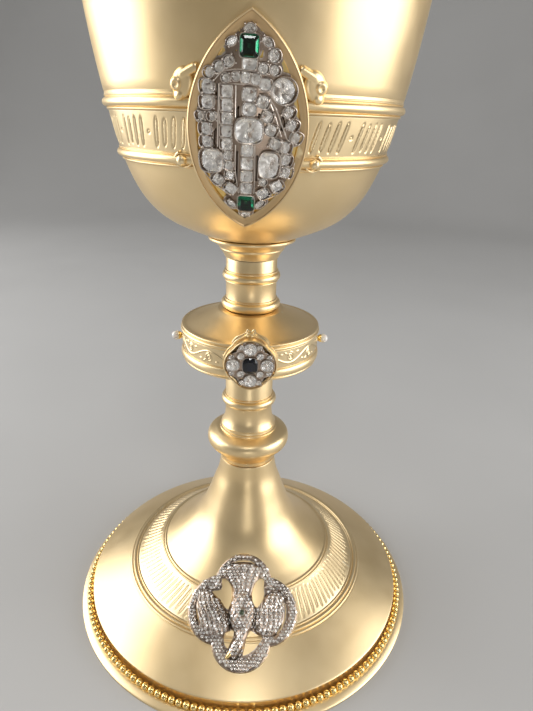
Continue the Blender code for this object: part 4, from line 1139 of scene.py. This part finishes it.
def make_jewel():
    """Lobed box on the knop with its crest, plate, sapphire and diamonds."""
    front = Front(drum_middle())

    def box_ring(grow, height):
        row = quatrefoil(2 * (BOX_RADIUS + grow), BOX_LOBE + grow, 20) + np.array(JEWEL_MIDDLE)
        return front.place(*row.T, height)

    section = ((0.4, JEWEL_BACK), (0.4, 25.8), (0.25, 26.1), (-0.15, 26.3), (-0.2, 28.3), (0.0, 28.5),
               (0.0, 29.1), (-0.12, 29.4), (-0.35, JEWEL_FRONT), (-0.5, 29.3), (-0.62, 28.9), (-0.95, 28.6),
               (-JEWEL_RIM, 28.2), (-JEWEL_RIM, JEWEL_BACK))
    gather = Gather()
    gather.add(*loft([box_ring(*part) for part in section], closed=True))
    path = np.array(smooth_through(CREST, 4)) + (JEWEL_MIDDLE[0], 0.0)
    for lift, height, thick in ((0.0, 26.6, 0.34), (-0.75, 27.6, 0.26)):
        gather.add(*tube(front.place(path[:, 0], path[:, 1] + lift, height), thick, 8))
    for place in ((-0.8, 10.8), (0.8, 10.8), (0.0, 11.3)):
        gather.add(*front.put(grain(0.5), place, 26.9))
    gather.made("jewel_box", "rim", "knop_jewel_frame", sharp=35)
    rings = [box_ring(0.1 - JEWEL_RIM, height) for height in (JEWEL_BACK + 0.5, JEWEL_SEAT - 2.6)]
    piece("jewel_floor", loft(rings), "polished", sharp=30)

    stones = [("sapphire", (0.2, 0.5), "cushion", 5.2, 5.8, "sapphire")]
    for name, place in JEWEL_DIAMONDS.items():
        stones.append((f"knop_diamond_{name}", place, "round", 4.5, 4.4, "diamond"))
    small = []
    for quarter in range(4):
        facing = math.pi / 2 * quarter
        for spread_angle, reach, size in ((-0.43, 7.3, 1.8), (0.43, 7.3, 1.8), (math.pi / 4, 4.8, 2.4)):
            angle = facing + spread_angle
            place = (JEWEL_MIDDLE[0] + reach * math.cos(angle), JEWEL_MIDDLE[1] + reach * math.sin(angle))
            small.append((place, size, angle))
    offset = JEWEL_RADIUS - JEWEL_LOBE

    def form(x, y):
        dx, dy = x - JEWEL_MIDDLE[0], y - JEWEL_MIDDLE[1]
        outside = np.hypot(dx, dy) - offset - 1.9
        for quarter in range(4):
            angle = math.pi / 2 * quarter
            lobe = np.hypot(dx - offset * math.cos(angle), dy - offset * math.sin(angle)) - JEWEL_LOBE
            outside = np.minimum(outside, lobe)
        return outside, JEWEL_SEAT + 0.5 + 0.0 * x

    relief("jewel_plate", front, 10.0, 10.0, 0.22, form, "silver", JEWEL_SEAT - 1.0, "knop_jewel_cluster")
    walls, gems, foils, grains = Gather(), Gather(), Gather(), Gather()
    chooser = random.Random(9)
    for name, place, kind, width, length, finish in stones:
        walls.add(*front.put(collet(kind, width, length, JEWEL_SEAT, JEWEL_SEAT + 1.4, 0.28, 36), place, 0.0))
        cut = gem(kind, width, length, 0.8)
        piece(f"{name}_cut", front.put(cut, place, JEWEL_SEAT + 1.35), finish, name)
        if finish == "diamond":
            foils.add(*front.put(foil(kind, width, length, 1.05, chooser, 12), place, JEWEL_SEAT + 1.3))
    for place, size, turn in small:
        tilt = (chooser.uniform(-JEWEL_TILT, JEWEL_TILT), chooser.uniform(-JEWEL_TILT, JEWEL_TILT))
        wall = collet("round", size, size, JEWEL_SEAT, JEWEL_SEAT + 1.05, 0.2, 20)
        walls.add(*front.put(wall, place, 0.0, turn))
        gems.add(*front.put(gem("round", size, size, 0.45, 10), place, JEWEL_SEAT + 1.0, turn, tilt))
        foils.add(*front.put(foil("round", size, size, 0.55, chooser), place, JEWEL_SEAT + 0.97, turn, tilt))
        spot = (place[0] * 1.12 + 0.5, place[1] * 1.12)
        if math.hypot(*spot) < JEWEL_RADIUS:
            grains.add(*front.put(grain(0.3), spot, JEWEL_SEAT + 0.9))
    walls.made("jewel_collets", "silver", sharp=40)
    grains.made("jewel_grains", "silver", sharp=60)
    foils.made("jewel_foils", "foil")
    gems.made("jewel_diamonds", "diamond")


PEARL_RADIUS = 1.8

# Small cup that holds a pearl: reach from the axis and radius
PEARL_CUP = ((26.2, 1.25), (26.7, 1.3), (26.8, 1.05), (27.0, 1.0), (27.4, 1.35), (28.0, 1.62),
             (28.15, 1.6), (27.7, 1.3), (27.35, 0.9))


def make_pearls():
    level = drum_middle()
    angles = np.arange(24) * math.pi / 12
    for side, sign in (("left", -1), ("right", 1)):
        low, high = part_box(f"pearl_{side}")
        points, faces = ball(PEARL_RADIUS, 16, 28, 0.02)
        centre = np.array((low + high) / 2 / MM)
        piece(f"pearl_ball_{side}", (points + centre, faces), "pearl", f"pearl_{side}", sharp=60)
        rings = []
        for reach, wide in PEARL_CUP:
            rings.append(np.column_stack([np.full(24, sign * reach), sign * wide * np.cos(angles),
                                          level + wide * np.sin(angles)]))
        piece(f"pearl_mount_{side}", loft(rings), "polished", f"pearl_cup_{side}", sharp=40)


# Dove brooch on the foot

DOVE_TURN = math.radians(-1.0)
DOVE_REACH = 22.8
DOVE_EDGE = 0.8
PAVE_PITCH = 1.40
PAVE_DIAMETER = 1.30
BREAST = (-0.2, -1.0)

# Radius of the brooch's middle, and the straight part of the foot that carries it
DOVE_RADIUS = 43.0
DOVE_SLOPE = ((52.5, 15.5), (37.9, 24.5))

# Lobes of the ring: centre, outer radius and width of the ribbon
LOBES = (((0.0, 10.5), 11.6, 2.9), ((-9.0, 0.8), 13.1, 3.4),
         ((9.0, 0.4), 13.0, 3.6), ((-0.2, -10.1), 11.6, 4.4))

# Openings to the backing, two beside the tail and two beside the neck
OPENINGS = (
    ((-8.6, 12.0), (-6.6, 11.8), (-4.8, 9.2), (-4.4, 4.9), (-5.9, 0.6), (-9.0, 4.3), (-12.4, 7.4),
     (-8.7, 8.2)),
    ((5.7, 12.1), (8.0, 12.3), (8.3, 8.0), (8.4, 6.3), (7.6, 4.1), (5.7, 1.4), (4.3, 2.6), (3.6, 5.6),
     (3.9, 8.6)),
    ((-6.8, -9.2), (-5.4, -7.5), (-3.3, -6.8), (-3.2, -9.1), (-4.2, -11.8), (-5.2, -13.2), (-6.4, -11.7)),
    ((1.9, -9.5), (3.4, -7.0), (5.2, -7.9), (7.9, -9.4), (6.3, -11.9), (4.2, -14.1), (0.8, -15.6),
     (1.4, -12.6)),
)

# Thin gaps between wing and ribbon and over the tail
SLITS = (
    ((-18.7, 3.4), (-18.0, 0.6), (-17.2, -2.2), (-16.6, -4.4)),
    ((16.9, 4.7), (17.2, 1.4), (16.8, -2.0), (15.4, -5.6), (12.4, -8.9)),
    ((-4.6, 18.2), (-2.4, 19.2), (0.0, 19.5), (2.6, 19.2), (5.0, 17.9)),
)
LEFT_WING = ((-15.8, 8.0), (-12.2, 6.5), (-9.2, 4.1), (-7.1, 1.1), (-5.5, -3.0), (-4.6, -6.6), (-5.9, -8.7),
             (-9.5, -9.9), (-13.6, -9.2), (-16.3, -6.8), (-17.6, -3.0), (-18.5, 1.7), (-18.0, 6.1))
RIGHT_WING = ((8.2, 5.2), (10.4, 7.2), (13.9, 7.6), (16.0, 6.1), (16.9, 2.9), (16.8, -1.3), (15.7, -4.7),
              (13.4, -7.7), (10.7, -9.3), (7.4, -8.9), (5.2, -6.9), (4.4, -2.8), (5.2, 0.8), (6.5, 3.5))
TAIL = ((-5.0, 0.5), (-4.1, 5.3), (-4.9, 9.4), (-8.2, 12.6), (-8.4, 15.4), (-5.4, 17.7), (0.0, 18.9),
        (5.4, 17.6), (8.4, 15.2), (8.2, 12.6), (4.6, 9.6), (3.8, 5.3), (5.0, 0.5))


class ConeSurface(Surface):
    """Surface for a stiff plate, which bends without stretching onto the cone under its middle."""

    def __init__(self, profile, level, turn=0.0):
        super().__init__(profile, level, turn)
        radius, _, _, self.narrowing = self.read(self.start)
        self.apex = radius / self.narrowing

    def place(self, across, along, height):
        across, along, height = same_shape(across, along, height)
        radius, level = self.lifted(self.start + self.apex - np.hypot(across, self.apex - along), height)
        return on_circle(radius, self.turn + np.arctan2(across, self.apex - along) / self.narrowing, level)


def closed_curve(corners, steps=4):
    """Smooth closed outline through the corners."""
    wrapped = [corners[-1], *corners, corners[0], corners[1]]
    return smooth_through(wrapped, steps)[steps:-steps - 1]


def from_line(x, y, points):
    """Distance to a line through the points, and the share along it."""
    near, share = np.full(np.shape(x), 1e9), np.zeros(np.shape(x))
    count = len(points) - 1
    for i in range(count):
        distance, part = from_segment(x, y, points[i], points[i + 1])
        share = np.where(distance < near, (i + part) / count, share)
        near = np.minimum(near, distance)
    return near, share


def dove_parts(x, y):
    """Distances outside the dove's forms and their heights."""
    tail = from_polygon(x, y, closed_curve(TAIL))
    fan = np.arctan2(x, y + 3.0)
    body = from_ellipse(x, y, (0.0, -0.6), (5.3, 8.4))
    neck = from_ellipse(x, y, (0.1, -8.2), (2.7, 4.6), math.radians(-10))
    head = from_ellipse(x, y, (-1.9, -13.0), (2.8, 4.3), math.radians(-22))
    plumes = 0.16 * np.cos(2.4 * x) * np.cos(1.6 * y)
    parts = [
        (tail, DOVE_EDGE + dome(tail, 1.6, 1.5) + 0.2 * np.cos(fan * 44.0)),
        (body, DOVE_EDGE + dome(body, 5.4, 3.7) + plumes),
        (neck, DOVE_EDGE + dome(neck, 2.6, 3.1)),
        (head, DOVE_EDGE + dome(head, 2.6, 3.5))]
    for outline, centre, lean in ((LEFT_WING, (-11.6, -0.9), 0.30), (RIGHT_WING, (10.9, -0.7), -0.10)):
        wing = from_polygon(x, y, closed_curve(outline, 3))
        dx, dy = x - centre[0], y - centre[1]
        side = dx * math.cos(lean) + dy * math.sin(lean)
        feathers = 0.24 * np.cos(3.6 * side + 1.1 * np.sin(0.5 * dy))
        parts.append((wing, DOVE_EDGE + 0.4 + dome(wing, 3.4, 2.1) + feathers * np.clip(-wing, 0, 1)))
    return parts


def dove_form(x, y):
    """Distance outside the whole brooch and its height."""
    outside = np.full(np.shape(x), 1e9)
    ring = np.full(np.shape(x), 1e9)
    for (cx, cy), radius, width in LOBES:
        distance = np.hypot(x - cx, y - cy) - radius
        outside = np.minimum(outside, distance)
        ring = np.minimum(ring, np.abs(distance + width / 2) - width / 2)
    ring = np.maximum(ring, outside)
    height = DOVE_EDGE + np.where(outside > -4.6, dome(ring, 1.3, 0.9), 0.0)
    for distance, rise in dove_parts(x, y):
        height = np.maximum(height, np.where(distance < 0.0, rise, 0.0))
    for corners in OPENINGS:
        outside = np.maximum(outside, -from_polygon(x, y, closed_curve(corners, 3)))
    for line in SLITS:
        near, share = from_line(x, y, line)
        outside = np.maximum(outside, 0.36 * np.sin(math.pi * np.clip(share, 0.04, 0.96)) + 0.06 - near)
    return outside, height


def backing_form(x, y):
    """Thin gold plate that shows as an edge all round the brooch, and in its openings."""
    outside = np.full(np.shape(x), 1e9)
    for (cx, cy), radius, _ in LOBES:
        outside = np.minimum(outside, np.hypot(x - cx, y - cy) - radius)
    return outside - 0.3, DOVE_EDGE - 0.25 + 0.0 * x


def make_dove():
    """Ring and dove in one relief on a gold backing, set all over with small stones."""
    (low_radius, low), (high_radius, high) = DOVE_SLOPE
    profile = smooth_through([(RISER_RADIUS, RISER_TOP), *DOVE_SLOPE, (25.1, 34.5), (16.0, 52.0)], 14)
    level = low + (high - low) * (low_radius - DOVE_RADIUS) / (low_radius - high_radius)
    seat = ConeSurface(profile, level, DOVE_TURN)
    reach = DOVE_REACH
    relief("dove_relief", seat, reach, reach, 0.24, dove_form, "silver", 0.4, "dove_brooch", sharp=50)
    reach += 0.4
    relief("dove_backing", seat, reach, reach, 0.6, backing_form, "gilt", -1.2)
    stones, grains, foils = Gather(), Gather(), Gather()
    chooser = random.Random(11)
    row_step = PAVE_PITCH * 0.87
    gem_points, gem_faces = facets("round", PAVE_DIAMETER, PAVE_DIAMETER, 8,
                                   ((0.96, -0.02, 0), (1.0, 0.0, 0), (0.58, 0.30, 1)))
    foil_points, foil_faces = foil("round", PAVE_DIAMETER, PAVE_DIAMETER, 0.22, chooser, 5)
    places = []
    for row in range(int(2 * DOVE_REACH / row_step) + 1):
        for column in range(int(2 * DOVE_REACH / PAVE_PITCH) + 1):
            across = (column + 0.5 * (row % 2)) * PAVE_PITCH - DOVE_REACH + chooser.uniform(-0.08, 0.08)
            places.append((across, row * row_step - DOVE_REACH + chooser.uniform(-0.08, 0.08)))
    x, y = np.array(places).T
    outside, height = dove_form(x, y)
    small = 0.3
    slope_x = (dove_form(x + small, y)[1] - dove_form(x - small, y)[1]) / (2 * small)
    slope_y = (dove_form(x, y + small)[1] - dove_form(x, y - small)[1]) / (2 * small)
    for i in np.nonzero(outside < -0.62)[0]:
        if math.hypot(x[i] - BREAST[0], y[i] - BREAST[1]) < 1.4:
            continue
        turn = chooser.uniform(0.0, math.pi)
        steep = max(1.0, math.hypot(slope_x[i], slope_y[i]) / 1.1)
        slope = tuple(rise / steep + chooser.uniform(-0.22, 0.22) for rise in (slope_x[i], slope_y[i]))
        size = chooser.uniform(0.86, 1.04)
        level = height[i] + 0.17
        stones.add(*seat.put((gem_points * size, gem_faces), (x[i], y[i]), level, turn, slope))
        foils.add(*seat.put((foil_points * size, foil_faces), (x[i], y[i]), level - 0.02, turn, slope))
        spot = (x[i] + PAVE_PITCH / 2, y[i] + 0.29 * PAVE_PITCH)
        grains.add(*seat.put(grain(0.17), spot, level, 0.0, slope))
    stones.made("dove_diamonds", "diamond")
    foils.made("dove_foils", "foil")
    grains.made("dove_grains", "silver", sharp=60)
    wall = collet("round", 2.0, 2.0, 3.6, 4.85, 0.25)
    piece("dove_breast_collet", seat.put(wall, BREAST, 0.0), "silver", sharp=40)
    piece("dove_breast_stone", seat.put(gem("round", 2.0, 2.0, 0.4, 12), BREAST, 4.8), "breast")
    path = np.array([(-3.0, -14.5, 2.5), (-4.1, -15.5, 2.5), (-5.1, -16.4, 2.2), (-5.7, -17.1, 1.7)])
    piece("dove_beak", tube(seat.place(*path.T), (1.3, 1.05, 0.65, 0.2), 10), "polished", sharp=40)


# Floor, light and camera

FLOOR_LEVEL = -0.05
FLOOR_RADIUS = 1000.0
FLOOR_SWEEP = 600.0
MIDDLE = (0.0, 0.0, 0.12)


def make_stage():
    """Floor that sweeps up all round."""
    curve = [(0.0, FLOOR_LEVEL), (600.0, FLOOR_LEVEL), (FLOOR_RADIUS, FLOOR_LEVEL)]
    for i in range(1, 13):
        angle = math.pi / 2 * i / 12
        rise = FLOOR_SWEEP * (1 - math.cos(angle))
        curve.append((FLOOR_RADIUS + FLOOR_SWEEP * math.sin(angle), rise + FLOOR_LEVEL))
    floor = lathe("studio_floor", curve, 96, "floor", sharp=80)
    floor.data.flip_normals()


def add_light(name, place, width, height, power, target=MIDDLE):
    """White area light, with lengths in metres and power in watts."""
    data = bpy.data.lights.new(name, 'AREA')
    data.shape = 'RECTANGLE'
    data.size = width
    data.size_y = height
    data.energy = power
    item = bpy.data.objects.new(name, data)
    bpy.context.scene.collection.objects.link(item)
    item.location = place
    item.rotation_euler = (Vector(target) - Vector(place)).to_track_quat('-Z', 'Y').to_euler()


def around(turn_deg, rise_deg, distance):
    """Place at a turn round the axis and a height above the horizon, seen from the chalice's middle."""
    turn, rise = math.radians(turn_deg), math.radians(rise_deg)
    flat = distance * math.cos(rise)
    return (flat * math.sin(turn), -flat * math.cos(turn), MIDDLE[2] + distance * math.sin(rise))


def make_lights():
    add_light("softbox_left", around(-101, 19, 0.95), 0.92, 0.88, 9.0)
    add_light("softbox_right", around(77, 15, 0.95), 0.95, 0.70, 7.0)
    add_light("softbox_low", (0.02, -0.36, 0.05), 0.07, 0.05, 0.05, (0.0, 0.0, 0.19))
    add_light("softbox_front", around(3, 56, 0.90), 0.14, 0.11, 0.8)
    add_light("softbox_top", (0.0, -0.05, 1.40), 0.9, 0.7, 1.2)
    world = bpy.data.worlds.new("studio")
    world.use_nodes = True
    socket_set(world.node_tree.nodes["Background"], Color=(1.0, 0.985, 0.96, 1.0), Strength=0.25)
    bpy.context.scene.world = world
    bpy.context.scene.view_settings.view_transform = 'Standard'


FRAME_HEIGHT_PX = 711
FOCAL_PX = 550.2
SENSOR_MM = 36.0
CAMERA_PLACE = (0.0, -0.2035, 0.2020)
CAMERA_PITCH = math.radians(-23.29)
CAMERA_YAW = math.radians(1.90)
CAMERA_ROLL = math.radians(1.95)


def make_camera():
    """Camera at the photograph's angle: it looks down, a little to the right, and is slightly rolled."""
    forward = Vector((math.sin(CAMERA_YAW) * math.cos(CAMERA_PITCH),
                      math.cos(CAMERA_YAW) * math.cos(CAMERA_PITCH), math.sin(CAMERA_PITCH)))
    level = forward.cross(Vector((0, 0, 1))).normalized()
    upright = level.cross(forward)
    right = level * math.cos(CAMERA_ROLL) + upright * math.sin(CAMERA_ROLL)
    up = upright * math.cos(CAMERA_ROLL) - level * math.sin(CAMERA_ROLL)
    data = bpy.data.cameras.new("photo_camera")
    data.sensor_width = SENSOR_MM
    data.lens = FOCAL_PX / FRAME_HEIGHT_PX * SENSOR_MM
    data.clip_start = 0.005
    item = bpy.data.objects.new("photo_camera", data)
    bpy.context.scene.collection.objects.link(item)
    item.matrix_world = Matrix.Translation(CAMERA_PLACE) @ Matrix((right, up, -forward)).transposed().to_4x4()
    bpy.context.scene.camera = item


make_foot()
make_stem()
make_knop()
make_cup()
make_mandorla()
make_terminals()
make_jewel()
make_pearls()
make_dove()
make_stage()
make_lights()
make_camera()
